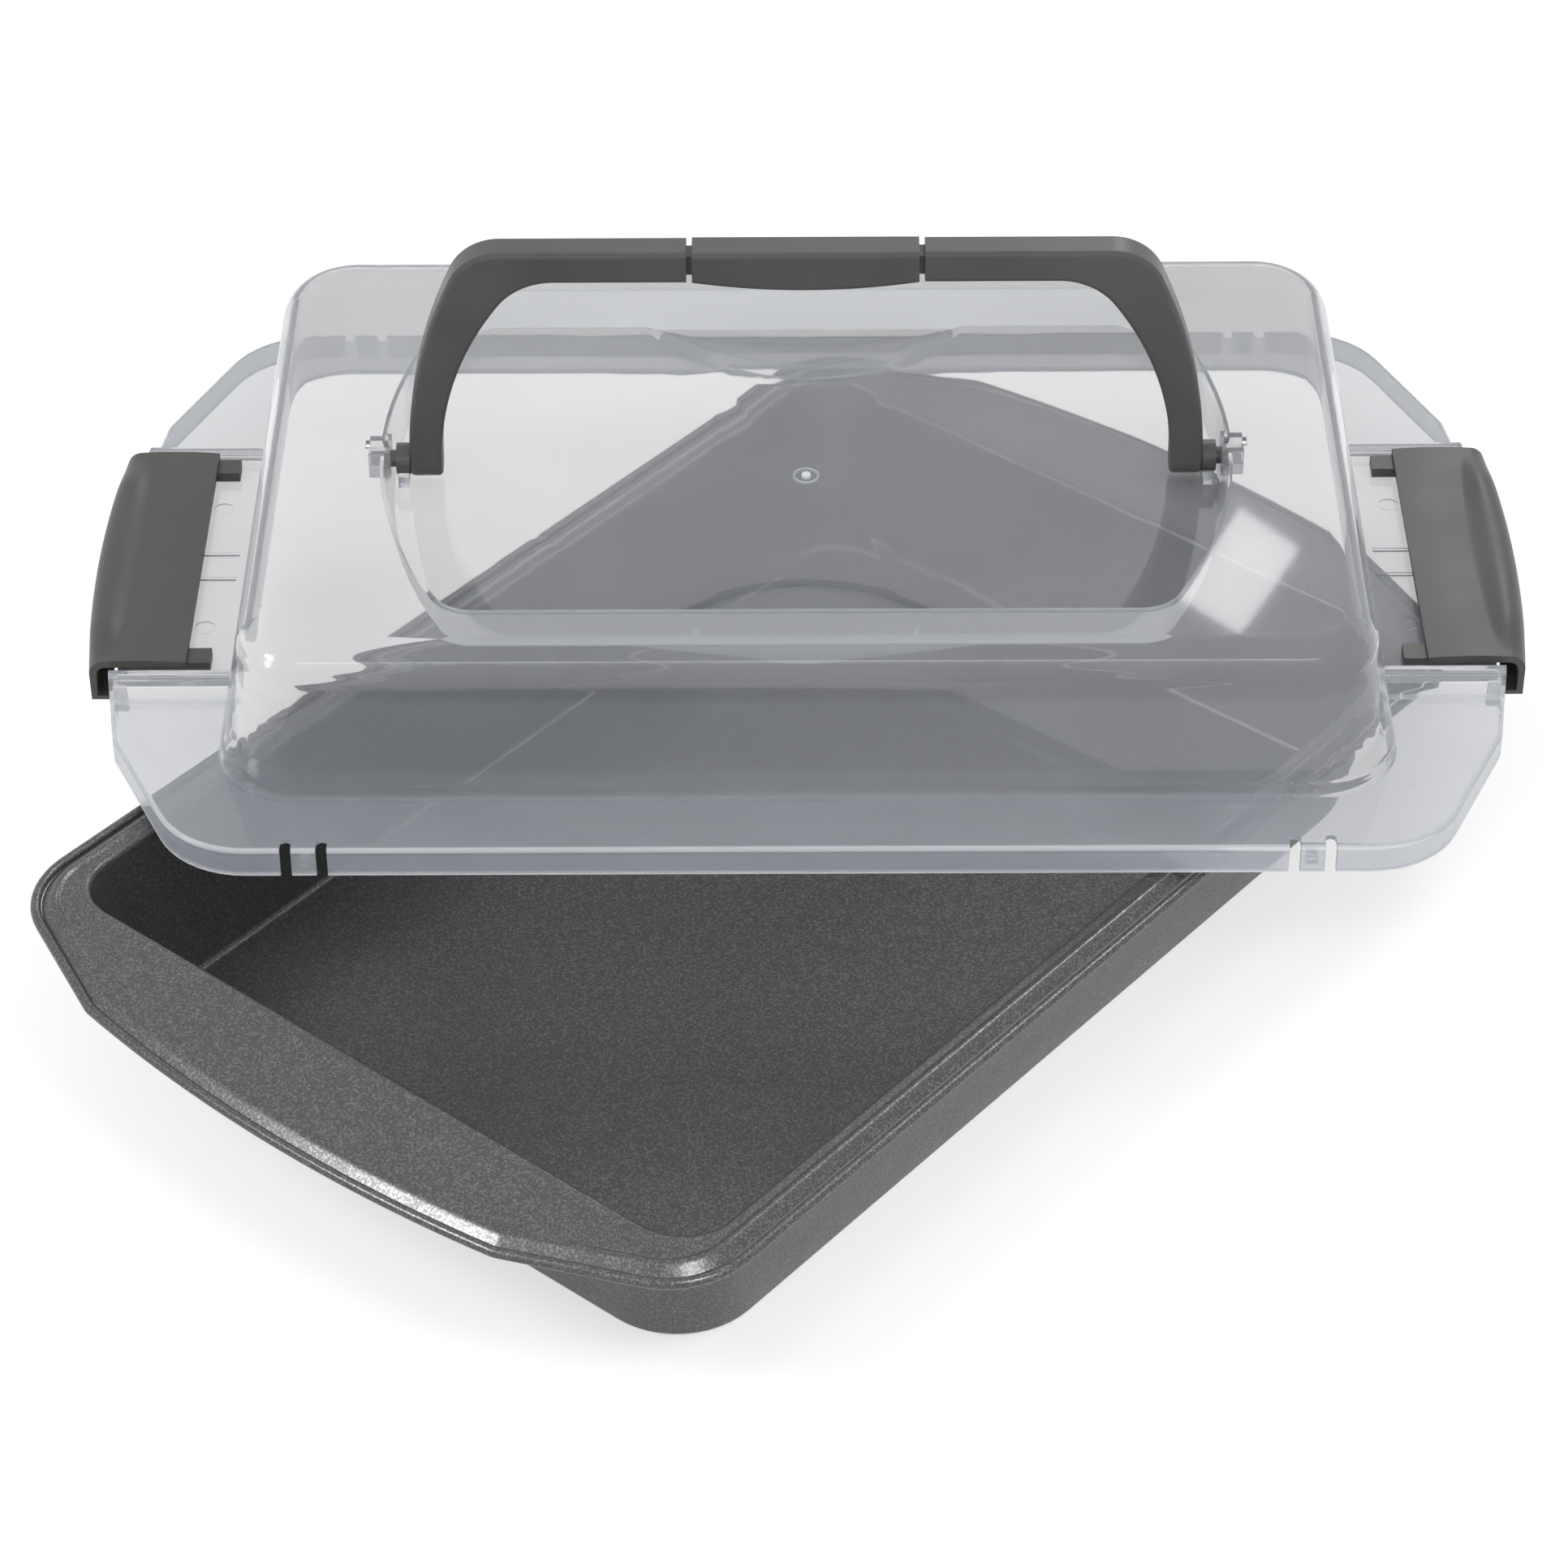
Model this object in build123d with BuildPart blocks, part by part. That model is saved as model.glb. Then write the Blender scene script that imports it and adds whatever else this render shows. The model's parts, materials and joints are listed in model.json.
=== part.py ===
"""Oblong cake pan with flared end handles and a clear carry lid lying turned on its rim.

Millimetres, +Z up. The origin is the middle of the pan's underside, X along the pan.
The lid has its own frame: u along the lid, v across it, w up from its lower edge.
"""
from build123d import *
import os
from math import asin, cos, radians, sin, tan

os.makedirs("parts", exist_ok=True)

# Pan, a thirteen by nine inch baking size, two inches deep
opening_length = 330.0
opening_width = 227.0
pan_depth = 50.8
sheet = 0.9
wall_lean = 9.5          # degrees that the pan's walls open outwards
opening_corner = 16.0
floor_corner = 24.0
floor_round = 6.0        # inner radius where the floor turns up
lip_round = 2.4
rim_side_width = 12.3    # rim along the long sides, opening to outer edge
handle_width = 30.8      # flat of the end handle, opening to the handle's corner
handle_bow = 5.8         # how far its curved end stands out beyond its corners
handle_corner_y = 74.0   # where the end handle's edge breaks into its long curve
handle_lean = 23.6       # degrees between the handle's diagonal and the short side
rim_corner = 27.0
handle_corner_round = 8.0
rim_drop = 3.2           # height of the rolled rim
rim_round = 2.6
hem_reach = 1.8          # how far the curled hem stands out of the roll
hem_height = 2.2
hem_round = 0.9
roll_width = 6.5
ledge_width = 3.2        # step along the inside of the long sides
ledge_depth = 0.8
ledge_end_gap = 37.0     # end of the step to the end of the opening
ledge_fade = 22.0

# Place of the lid on the pan
lid_x = 69.6
lid_y = 41.2
lid_turn = -50.3         # degrees, counted anticlockwise from above

# Lid flange and skirt, which pass outside the pan's rim
lid_wall = 1.5
flange_height = 9.1
skirt_side_room = 4.2    # skirt's outside beyond the rim along the long sides
skirt_corner_room = 2.2  # beyond the handle's corner, along the pan
skirt_break_room = 4.5   # beyond the handle's corner, across the pan
skirt_end_room = 2.8     # beyond the handle's curved end
skirt_lean = 25.2
skirt_corner = 28.0
skirt_corner_round = 8.0
skirt_round = 1.8        # outer rounding between flange and skirt

# Latch shelves in the ends of the flange, and the rails beside them
shelf_step = 2.4         # shelf above the flange
rail_step = 3.0          # rail above the shelf
notch_gap = 1.5          # latch to the rail
rail_width = 4.2
rail_slope_width = 4.6
shelf_edge_gap = 1.5     # closed latch wall to the edge of the shelf
return_wall_length = 9.0
shelf_rib_v = 6.2
shelf_rib_width = 1.2
shelf_rib_height = 0.6
shelf_rib_length = 17.0
shelf_rib_lead = 10.0    # how far the ribs start before the latch
shelf_mark_lead = 3.0
shelf_mark_v = 30.0
shelf_mark_radius = 3.0
mark_depth = 0.25
gate_ring_radius = 3.8
gate_ring_width = 0.5
gate_stub_radius = 1.3
gate_stub_height = 0.5

# Snap tabs in the skirt
tab_from_corner = 58.3   # middle of the tab to the skirt's corner, along the lid
tab_slot_offset = 5.0
tab_slot_width = 3.2
tab_slot_reach = 3.4
snap_size = 3.0
snap_height = 2.2
snap_reach = 3.0
snap_base = 2.2

# Dome
plateau_height = 55.8
flange_side_width = 20.7
flange_end_width = 31.0
dome_end_lean = 11.0
dome_side_lean = 6.5
dome_corner = 25.0
dome_top_corner = 21.0
dome_shoulder = 11.0

# Pivots
pivot_drop = 5.2         # pivot below the plateau
pin_radius = 2.5
pin_clearance = 0.08
pin_snap = 1.6           # how much narrower the slot is than the pin
pad_inset = 1.7          # bearing pad's face inside the well's edge
pad_thickness = 6.3
pad_wall = 2.5           # pad beside the pin
pad_foot = 4.2           # pad below the pivot
pin_end_gap = 0.6
cradle_width = 3.0
cradle_wall = 1.0
cradle_drop = 2.2        # cradle's top below the pivot
cradle_gap = 0.4

# Carry handle, drawn upright
bar_height = 9.8
bar_depth = 10.0
arm_width = 9.5
arm_outer_radius = 149.0
arm_inner_radius = 91.0
arm_outer_corner = 16.0
arm_inner_corner = 20.0
boss_wall = 2.1
boss_length = 4.0
boss_gap = 1.6           # boss to the bearing pad
handle_round = 1.4
groove_x = 33.0
groove_width = 1.6
grip_bulge = 2.6         # how much deeper the grip is in its middle
grip_depth = 10.6
spigot_size = 6.0
spigot_length = 14.0
spigot_clearance = 0.1

# Handle well, sized so that the handle folds down into it
fold_gap = 1.6           # folded handle to the well's floor
fold_room = 9.5          # folded handle to the well's long edge
well_end_margin = 44.2   # well's end to the dome's foot
well_side_margin = 27.3
well_side_radius = 160.0
well_corner = 12.0
well_lean = 11.5
scoop_radius = 187.5
scoop_depth = 7.5
scoop_centre_offset = 20.0   # scoop's middle lies this far outside the well's foot

# Latches, drawn pulled out
latch_travel = 4.8
latch_half_width = 53.0
latch_end_reach = 9.2    # latch beyond the skirt's corner
latch_bow = 3.1
latch_length = 28.2
latch_wall = 2.0
latch_plate = 1.6
latch_rise = 1.4         # latch plate above the rails
latch_crown = 0.9
latch_crown_radius = 150.0
latch_round = 4.6
latch_inner_round = 3.0
hook_base = 2.9
hook_thickness = 1.3
hook_reach = 4.5
guide_margin = 1.6       # guide to the latch's side
guide_width = 7.1
guide_lead = 6.7         # how far the guides start before the latch
guide_end_gap = 8.2
guide_cover = 0.5        # how far the guides run up into the plate
slide_clearance = 0.2
stem_width = 3.0
stem_length = 8.0
stem_inset = 3.0
foot_width = 6.0
foot_height = 1.2

# How far cuts run past the faces that they open
overrun = 1.0
far_overrun = 10.0

# Pan: values that follow
rim_top = sheet + pan_depth
rim_half_width = opening_width / 2 + rim_side_width
handle_corner_x = opening_length / 2 + handle_width
handle_tip_x = handle_corner_x + handle_bow
ledge_half_length = opening_length / 2 - ledge_end_gap
floor_length = opening_length - 2 * pan_depth * tan(radians(wall_lean))
floor_width = opening_width - 2 * pan_depth * tan(radians(wall_lean))
wall_skin = sheet / cos(radians(wall_lean))

# Lid, handle and latches: values that follow
skirt_half_width = rim_half_width + skirt_side_room
skirt_corner_x = handle_corner_x + skirt_corner_room
skirt_corner_y = handle_corner_y + skirt_break_room
skirt_tip_x = handle_tip_x + skirt_end_room
dome_half_length = skirt_corner_x - flange_end_width
dome_half_width = skirt_half_width - flange_side_width
well_half_length = dome_half_length - well_end_margin
well_half_width = dome_half_width - well_side_margin
well_depth = pivot_drop + bar_depth / 2 + fold_gap
well_floor = plateau_height - well_depth
pivot_height = plateau_height - pivot_drop
pad_inner_x = well_half_length - pad_inset
pad_outer_x = pad_inner_x + pad_thickness
boss_radius = pin_radius + boss_wall
arm_outer_x = pad_inner_x - boss_gap - boss_length
arm_inner_x = arm_outer_x - arm_width
handle_reach = well_half_width - fold_room
flange_under = flange_height - lid_wall
shelf_height = flange_height + shelf_step
rail_height = shelf_height + rail_step
notch_half_width = latch_half_width + notch_gap
latch_end_x = skirt_corner_x + latch_end_reach
latch_middle_x = latch_end_x + latch_bow
latch_inner_x = latch_end_x - latch_length
latch_edge_height = rail_height + latch_rise
tab_middle_x = skirt_corner_x - tab_from_corner
lid_plane = Plane(
    origin=(lid_x, lid_y, rim_top),
    x_dir=(cos(radians(lid_turn)), sin(radians(lid_turn)), 0),
    z_dir=(0, 0, 1),
)
lid_across = Axis((0, 0, 0), lid_plane.y_dir)


def lid_point(u, v, w):
    """Place in the pan's frame of a point given in the lid's frame."""
    return lid_plane.from_local_coords((u, v, w))


def lid_level(height):
    """Level plane of the lid's frame at a height above the lid's lower edge."""
    return lid_plane.offset(height)


def lid_section(u):
    """Upright plane across the lid at u, with v to the right and w up."""
    return Plane(origin=lid_point(u, 0, 0), x_dir=lid_plane.y_dir, z_dir=lid_plane.x_dir)


def lid_elevation(v):
    """Upright plane along the lid at v, with u to the right and w up."""
    return Plane(origin=lid_point(0, v, 0), x_dir=lid_plane.x_dir, z_dir=-lid_plane.y_dir)


def handled_outline(half_width, end_x, end_y, tip_x, lean, corner, end_round):
    """Face of an oblong with cut-off corners and curved ends, shared by the pan's rim and the lid."""
    corner_x = end_x - (half_width - end_y) * tan(radians(lean))
    with BuildSketch() as outline:
        with BuildLine():
            Polyline((end_x, end_y), (corner_x, half_width), (-corner_x, half_width), (-end_x, end_y))
            ThreePointArc((-end_x, end_y), (-tip_x, 0), (-end_x, -end_y))
            Polyline((-end_x, -end_y), (-corner_x, -half_width), (corner_x, -half_width), (end_x, -end_y))
            ThreePointArc((end_x, -end_y), (tip_x, 0), (end_x, end_y))
        make_face()
        fillet(outline.vertices().filter_by(lambda v: abs(v.Y) > half_width - 0.01), radius=corner)
        fillet(outline.vertices().filter_by(lambda v: abs(abs(v.Y) - end_y) < 0.01), radius=end_round)
    return outline.sketch


hem_outline = handled_outline(
    rim_half_width,
    handle_corner_x,
    handle_corner_y,
    handle_tip_x,
    handle_lean,
    rim_corner,
    handle_corner_round,
)
roll_outline = offset(hem_outline, amount=-hem_reach)
roll_inside = offset(hem_outline, amount=-roll_width)
skirt_outline = handled_outline(
    skirt_half_width,
    skirt_corner_x,
    skirt_corner_y,
    skirt_tip_x,
    skirt_lean,
    skirt_corner,
    skirt_corner_round,
)
skirt_inside = offset(skirt_outline, amount=-lid_wall)


# Space inside the pan
with BuildPart() as pan_space:
    with BuildSketch(Plane.XY.offset(sheet)):
        RectangleRounded(floor_length, floor_width, floor_corner)
    with BuildSketch(Plane.XY.offset(rim_top)):
        RectangleRounded(opening_length, opening_width, opening_corner)
    loft()
    fillet(pan_space.edges().group_by(Axis.Z)[0], radius=floor_round)

# Curled hem that stands out of the rolled rim
with BuildPart() as rim_hem:
    with BuildSketch(Plane.XY.offset(rim_top - rim_drop)):
        add(hem_outline)
    extrude(amount=hem_height)
    fillet(rim_hem.edges().group_by(Axis.Z)[0] + rim_hem.edges().group_by(Axis.Z)[-1], radius=hem_round)

# Pressed pan: rolled rim, hollow under the handles, walls and floor
with BuildPart() as pan_body:
    with BuildSketch(Plane.XY.offset(rim_top - rim_drop)):
        add(roll_outline)
    extrude(amount=rim_drop)
    fillet(pan_body.edges().group_by(Axis.Z)[-1], radius=rim_round)
    add(rim_hem.part)
    with BuildSketch(Plane.XY.offset(rim_top - rim_drop)):
        add(roll_inside)
    extrude(amount=rim_drop - sheet, mode=Mode.SUBTRACT)
    with BuildSketch(Plane.XY):
        RectangleRounded(floor_length + 2 * wall_skin, floor_width + 2 * wall_skin, floor_corner + wall_skin)
    with BuildSketch(Plane.XY.offset(rim_top - sheet)):
        RectangleRounded(
            opening_length + 2 * wall_skin, opening_width + 2 * wall_skin, opening_corner + wall_skin
        )
    loft()
    fillet(pan_body.edges().group_by(Axis.Z)[0], radius=floor_round + sheet)
    add(pan_space.part, mode=Mode.SUBTRACT)
    # Lip where the walls turn over into the rim
    rim_edges = pan_body.edges().filter_by_position(Axis.Z, rim_top - 0.01, rim_top + 0.01)
    lip_edges = rim_edges.filter_by(
        lambda e: abs(e.center().X) < opening_length / 2 + 0.1 and abs(e.center().Y) < opening_width / 2 + 0.1
    )
    fillet(lip_edges, radius=min(lip_round, sheet * 0.8))
    # Step along the inside of each long side, fading out towards the handles
    for side in (-1, 1):
        ledge_start = side * (opening_width / 2 - lip_round)
        with BuildSketch(Plane(origin=(0, ledge_start, rim_top), x_dir=(1, 0, 0), z_dir=(0, side, 0))):
            with BuildLine():
                Polyline(
                    (-ledge_half_length - ledge_fade, 0),
                    (-ledge_half_length, side * ledge_depth),
                    (ledge_half_length, side * ledge_depth),
                    (ledge_half_length + ledge_fade, 0),
                    close=True,
                )
            make_face()
        extrude(amount=lip_round + ledge_width, mode=Mode.SUBTRACT)
pan_body.part.label = "pan_body"
export_step(pan_body.part, "parts/pan_body.step")

# Outside of flange, skirt and latch shelves
rail_foot_v = notch_half_width + rail_width + rail_slope_width
beyond_skirt = skirt_half_width + far_overrun
beyond_skirt_end = skirt_tip_x + far_overrun
with BuildPart() as flange_outside:
    with BuildSketch(lid_plane):
        add(skirt_outline)
    extrude(amount=rail_height)
    with BuildSketch(lid_section(0)):
        with BuildLine():
            Polyline(
                (-beyond_skirt, 0),
                (-beyond_skirt, flange_height),
                (-rail_foot_v, flange_height),
                (-notch_half_width - rail_width, rail_height),
                (-notch_half_width, rail_height),
                (-notch_half_width, shelf_height),
                (notch_half_width, shelf_height),
                (notch_half_width, rail_height),
                (notch_half_width + rail_width, rail_height),
                (rail_foot_v, flange_height),
                (beyond_skirt, flange_height),
                (beyond_skirt, 0),
                close=True,
            )
        make_face()
    extrude(amount=beyond_skirt_end, both=True, mode=Mode.INTERSECT)
    long_edges = flange_outside.edges().filter_by(Axis((0, 0, 0), lid_plane.x_dir))
    shoulder_edges = long_edges.filter_by(
        lambda e: abs(abs(lid_plane.to_local_coords(e.center()).Y) - skirt_half_width) < 0.01
        and abs(lid_plane.to_local_coords(e.center()).Z - flange_height) < 0.01
    )
    fillet(shoulder_edges, radius=skirt_round)

# Space under flange, rails and shelves
with BuildPart() as flange_space:
    with BuildSketch(lid_plane):
        add(skirt_inside)
    extrude(amount=rail_height)
    with BuildSketch(lid_section(0)):
        with BuildLine():
            Polyline(
                (-beyond_skirt, -overrun),
                (-beyond_skirt, flange_under),
                (-rail_foot_v + lid_wall / 2, flange_under),
                (-notch_half_width - rail_width + lid_wall / 2, rail_height - lid_wall),
                (-notch_half_width - lid_wall, rail_height - lid_wall),
                (-notch_half_width - lid_wall, shelf_height - lid_wall),
                (notch_half_width + lid_wall, shelf_height - lid_wall),
                (notch_half_width + lid_wall, rail_height - lid_wall),
                (notch_half_width + rail_width - lid_wall / 2, rail_height - lid_wall),
                (rail_foot_v - lid_wall / 2, flange_under),
                (beyond_skirt, flange_under),
                (beyond_skirt, -overrun),
                close=True,
            )
        make_face()
    extrude(amount=beyond_skirt_end, both=True, mode=Mode.INTERSECT)


def dome_face(height, inset, corner):
    """Rounded oblong of the dome's wall at a height, drawn in by an inset."""
    rise = height - flange_height
    half_length = dome_half_length - rise * tan(radians(dome_end_lean)) - inset
    half_width = dome_half_width - rise * tan(radians(dome_side_lean)) - inset
    return RectangleRounded(2 * half_length, 2 * half_width, corner - inset)


with BuildPart() as dome_outside:
    with BuildSketch(lid_level(flange_under)):
        dome_face(flange_under, 0, dome_corner)
    with BuildSketch(lid_level(plateau_height)):
        dome_face(plateau_height, 0, dome_top_corner)
    loft()
    fillet(dome_outside.edges().group_by(Axis.Z)[-1], radius=dome_shoulder)

with BuildPart() as dome_space:
    with BuildSketch(lid_level(0)):
        dome_face(0, lid_wall, dome_corner)
    with BuildSketch(lid_level(plateau_height - lid_wall)):
        dome_face(plateau_height - lid_wall, lid_wall, dome_top_corner)
    loft()
    fillet(dome_space.edges().group_by(Axis.Z)[-1], radius=dome_shoulder - lid_wall)


def well_outline(height, growth):
    """Outline of the handle well at a height, grown by a wall; its short sides bow outwards."""
    inset = (plateau_height - height) * tan(radians(well_lean)) - growth
    half_width = well_half_width - inset
    side_radius = well_side_radius - inset
    side_middle = well_half_length - well_side_radius
    corner_x = side_middle + side_radius * cos(asin(half_width / side_radius))
    with BuildSketch() as outline:
        with BuildLine():
            Line((corner_x, half_width), (-corner_x, half_width))
            ThreePointArc(
                (-corner_x, half_width), (-side_middle - side_radius, 0), (-corner_x, -half_width)
            )
            Line((-corner_x, -half_width), (corner_x, -half_width))
            ThreePointArc((corner_x, -half_width), (side_middle + side_radius, 0), (corner_x, half_width))
        make_face()
        fillet(outline.vertices(), radius=well_corner - inset)
    return outline.sketch


scoop_base = well_floor - scoop_depth - overrun
well_top_outline = well_outline(plateau_height, 0)
well_low_outline = well_outline(scoop_base, 0)
block_top_outline = well_outline(plateau_height, lid_wall)
block_low_outline = well_outline(scoop_base - lid_wall, lid_wall)

# Space of the well, run on down past its floor so that the scoops can use the same walls
with BuildPart() as well_shaft:
    with BuildSketch(lid_level(scoop_base)):
        add(well_low_outline)
    with BuildSketch(lid_level(plateau_height)):
        add(well_top_outline)
    loft()

with BuildPart() as well_block:
    with BuildSketch(lid_level(scoop_base - lid_wall)):
        add(block_low_outline)
    with BuildSketch(lid_level(plateau_height)):
        add(block_top_outline)
    loft()

# Levels that the scoops' balls and the floor reach down to
well_foot_v = well_half_width - well_depth * tan(radians(well_lean))
scoop_centre_v = well_foot_v + scoop_centre_offset
scoop_centre_w = well_floor - scoop_depth + scoop_radius


def scooped_floor(radius, floor):
    """Solid above the well's floor and inside the two finger scoops."""
    with BuildPart() as room:
        with BuildSketch(lid_level(floor)):
            Rectangle(2 * skirt_tip_x, 2 * skirt_half_width)
        extrude(amount=plateau_height - floor)
        for side in (-1, 1):
            with Locations(lid_point(0, side * scoop_centre_v, scoop_centre_w)):
                Sphere(radius)
    return room.part


well_room = scooped_floor(scoop_radius, well_floor)
block_room = scooped_floor(scoop_radius + lid_wall, well_floor - lid_wall)

# Clear lid: dome, well, flange, skirt, rails and shelves in one moulding
shelf_end_x = latch_end_x - latch_wall - latch_travel - shelf_edge_gap
shelf_middle_x = latch_middle_x - latch_wall - latch_travel - shelf_edge_gap
shelf_rib_middle_x = latch_inner_x - shelf_rib_lead + shelf_rib_length / 2
shelf_mark_x = latch_inner_x - shelf_mark_lead
cradle_inner_x = arm_outer_x + (boss_length - cradle_width) / 2
guide_middle_v = latch_half_width - guide_margin - guide_width / 2
stem_inner_x = latch_inner_x + stem_inset
pad_base = pivot_height - pad_foot
pin_slot_width = 2 * pin_radius - pin_snap
cradle_height = pivot_height - cradle_drop - well_floor
tab_slot_v = skirt_half_width - tab_slot_reach
slot_inner_x = stem_inner_x - latch_travel - slide_clearance
slot_outer_x = stem_inner_x + stem_length + slide_clearance
slot_middle_x = (slot_inner_x + slot_outer_x) / 2
slot_length = slot_outer_x - slot_inner_x
with BuildPart() as lid_shell:
    add(flange_outside.part)
    add(flange_space.part, mode=Mode.SUBTRACT)
    add(dome_outside.part)
    add(dome_space.part, mode=Mode.SUBTRACT)
    add(well_block.part & block_room)
    add(well_shaft.part & well_room, mode=Mode.SUBTRACT)
    for side in (-1, 1):
        # Bearing pad in the well's short wall, with the pin's hole and the slot it snaps in by
        with BuildSketch(lid_level(pad_base)):
            with Locations((side * (pad_inner_x + pad_outer_x) / 2, 0)):
                Rectangle(pad_thickness, 2 * (pin_radius + pad_wall))
        extrude(amount=plateau_height - pad_base)
        with BuildSketch(lid_section(side * (pad_inner_x - overrun))):
            with Locations((0, pivot_height)):
                Circle(pin_radius + pin_clearance)
            with Locations((0, pivot_height + (pivot_drop + overrun) / 2)):
                Rectangle(pin_slot_width, pivot_drop + overrun)
        extrude(amount=side * (pad_thickness + 2 * overrun), mode=Mode.SUBTRACT)
        # Cradle on the well's floor under the handle's boss
        with BuildSketch(lid_section(side * cradle_inner_x)):
            with Locations((0, well_floor + cradle_height / 2)):
                Rectangle(2 * (boss_radius + cradle_wall), cradle_height)
            with Locations((0, pivot_height)):
                Circle(boss_radius + cradle_gap, mode=Mode.SUBTRACT)
        extrude(amount=side * cradle_width)
        # Notch that the latch's hook passes through, and the short walls that close the skirt beside it
        with BuildSketch(lid_plane):
            with BuildLine():
                Polyline(
                    (side * shelf_end_x, notch_half_width),
                    (side * beyond_skirt_end, notch_half_width),
                    (side * beyond_skirt_end, -notch_half_width),
                    (side * shelf_end_x, -notch_half_width),
                )
                ThreePointArc(
                    (side * shelf_end_x, -notch_half_width),
                    (side * shelf_middle_x, 0),
                    (side * shelf_end_x, notch_half_width),
                )
            make_face()
        extrude(amount=rail_height, mode=Mode.SUBTRACT)
        with BuildSketch(lid_plane):
            with Locations(
                (side * (beyond_skirt_end - return_wall_length), notch_half_width + lid_wall / 2),
                (side * (beyond_skirt_end - return_wall_length), -notch_half_width - lid_wall / 2),
            ):
                Rectangle(2 * return_wall_length, lid_wall)
            add(skirt_outline, mode=Mode.INTERSECT)
        extrude(amount=shelf_height)
        # Slots that the latch's stems slide in
        with BuildSketch(lid_level(shelf_height - lid_wall)):
            with Locations((side * slot_middle_x, guide_middle_v), (side * slot_middle_x, -guide_middle_v)):
                Rectangle(slot_length, stem_width + 2 * slide_clearance)
        extrude(amount=lid_wall, mode=Mode.SUBTRACT)
        # Two ribs and two round moulding marks on the shelf
        with BuildSketch(lid_level(shelf_height)):
            for rib_v in (-shelf_rib_v, shelf_rib_v):
                with Locations((side * shelf_rib_middle_x, rib_v)):
                    Rectangle(shelf_rib_length, shelf_rib_width)
        extrude(amount=shelf_rib_height)
        with BuildSketch(lid_level(shelf_height)):
            with Locations((side * shelf_mark_x, shelf_mark_v), (side * shelf_mark_x, -shelf_mark_v)):
                Circle(shelf_mark_radius)
        extrude(amount=-mark_depth, mode=Mode.SUBTRACT)
        # Snap tabs in the long sides of the skirt: two slots and a bump between them
        for end in (-1, 1):
            with BuildSketch(lid_plane):
                for slot_x in (tab_middle_x - tab_slot_offset, tab_middle_x + tab_slot_offset):
                    with Locations((end * slot_x, side * (tab_slot_v + far_overrun / 2))):
                        Rectangle(tab_slot_width, far_overrun)
                    with Locations((end * slot_x, side * tab_slot_v)):
                        Circle(tab_slot_width / 2)
            extrude(amount=flange_height, mode=Mode.SUBTRACT)
            with BuildSketch(lid_level(snap_base)):
                with Locations((end * tab_middle_x, side * (skirt_half_width - lid_wall - snap_reach / 2))):
                    Rectangle(snap_size, snap_reach)
            extrude(amount=snap_height)
    # Moulding gate mark in the middle of the well's floor
    with BuildSketch(lid_level(well_floor)):
        Circle(gate_ring_radius)
        Circle(gate_ring_radius - gate_ring_width, mode=Mode.SUBTRACT)
    extrude(amount=-mark_depth, mode=Mode.SUBTRACT)
    with BuildSketch(lid_level(well_floor)):
        Circle(gate_stub_radius)
    extrude(amount=gate_stub_height)
lid_shell.part.label = "lid_shell"
export_step(lid_shell.part, "parts/lid_shell.step")


def bent_side(start_x, side_radius, corner_radius, reach):
    """Five points of a bowed side that turns over into the level bar: ends, middles and the joint."""
    turn = asin((reach - corner_radius) / (side_radius - corner_radius))
    meet_x = start_x - side_radius * (1 - cos(turn))
    corner_x = meet_x - corner_radius * cos(turn)
    corner_middle = (turn + radians(90)) / 2
    return [
        (start_x, 0),
        (start_x - side_radius * (1 - cos(turn / 2)), side_radius * sin(turn / 2)),
        (meet_x, side_radius * sin(turn)),
        (corner_x + corner_radius * cos(corner_middle), reach - corner_radius * (1 - sin(corner_middle))),
        (corner_x, reach),
    ]


# Arm of the carry handle with its boss, pin and the spigot that the grip is pushed onto
handle_top = pivot_height + handle_reach
bar_middle = handle_top - bar_height / 2
arm_end_x = groove_x + groove_width / 2
outer = [(-u, pivot_height + r) for u, r in bent_side(
    arm_outer_x, arm_outer_radius, arm_outer_corner, handle_reach
)]
inner = [(-u, pivot_height + r) for u, r in bent_side(
    arm_inner_x, arm_inner_radius, arm_inner_corner, handle_reach - bar_height
)]
with BuildPart() as arm_foot:
    with BuildSketch(lid_section(-arm_inner_x)):
        with Locations((0, pivot_height)):
            Circle(bar_depth / 2)
    extrude(amount=-arm_width)
    fillet(arm_foot.edges().filter_by(GeomType.CIRCLE), radius=handle_round)
with BuildPart() as handle_arm_left:
    with BuildSketch(lid_elevation(0)):
        with BuildLine():
            ThreePointArc(outer[0], outer[1], outer[2])
            ThreePointArc(outer[2], outer[3], outer[4])
            Polyline(outer[4], (-arm_end_x, handle_top), (-arm_end_x, handle_top - bar_height), inner[4])
            ThreePointArc(inner[4], inner[3], inner[2])
            ThreePointArc(inner[2], inner[1], inner[0])
            Line(inner[0], outer[0])
        make_face()
    extrude(amount=bar_depth / 2, both=True)
    long_edges = handle_arm_left.edges().filter_by(lid_across, reverse=True)
    fillet(
        long_edges.filter_by(
            lambda e: abs(lid_plane.to_local_coords(e.center()).X) > arm_end_x + 0.1
            and lid_plane.to_local_coords(e.center()).Z > pivot_height + 0.1
        ),
        radius=handle_round,
    )
    add(arm_foot.part)
    with BuildSketch(lid_section(-arm_outer_x)):
        with Locations((0, pivot_height)):
            Circle(boss_radius)
    extrude(amount=-boss_length)
    with BuildSketch(lid_section(-arm_outer_x)):
        with Locations((0, pivot_height)):
            Circle(pin_radius)
    extrude(amount=arm_outer_x + pin_end_gap - pad_outer_x)
    with BuildSketch(lid_section(-arm_end_x)):
        with Locations((0, bar_middle)):
            Rectangle(spigot_size, spigot_size)
    extrude(amount=groove_width + spigot_length)
handle_arm_left.part.label = "handle_arm_left"
export_step(handle_arm_left.part, "parts/handle_arm_left.step")

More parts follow.
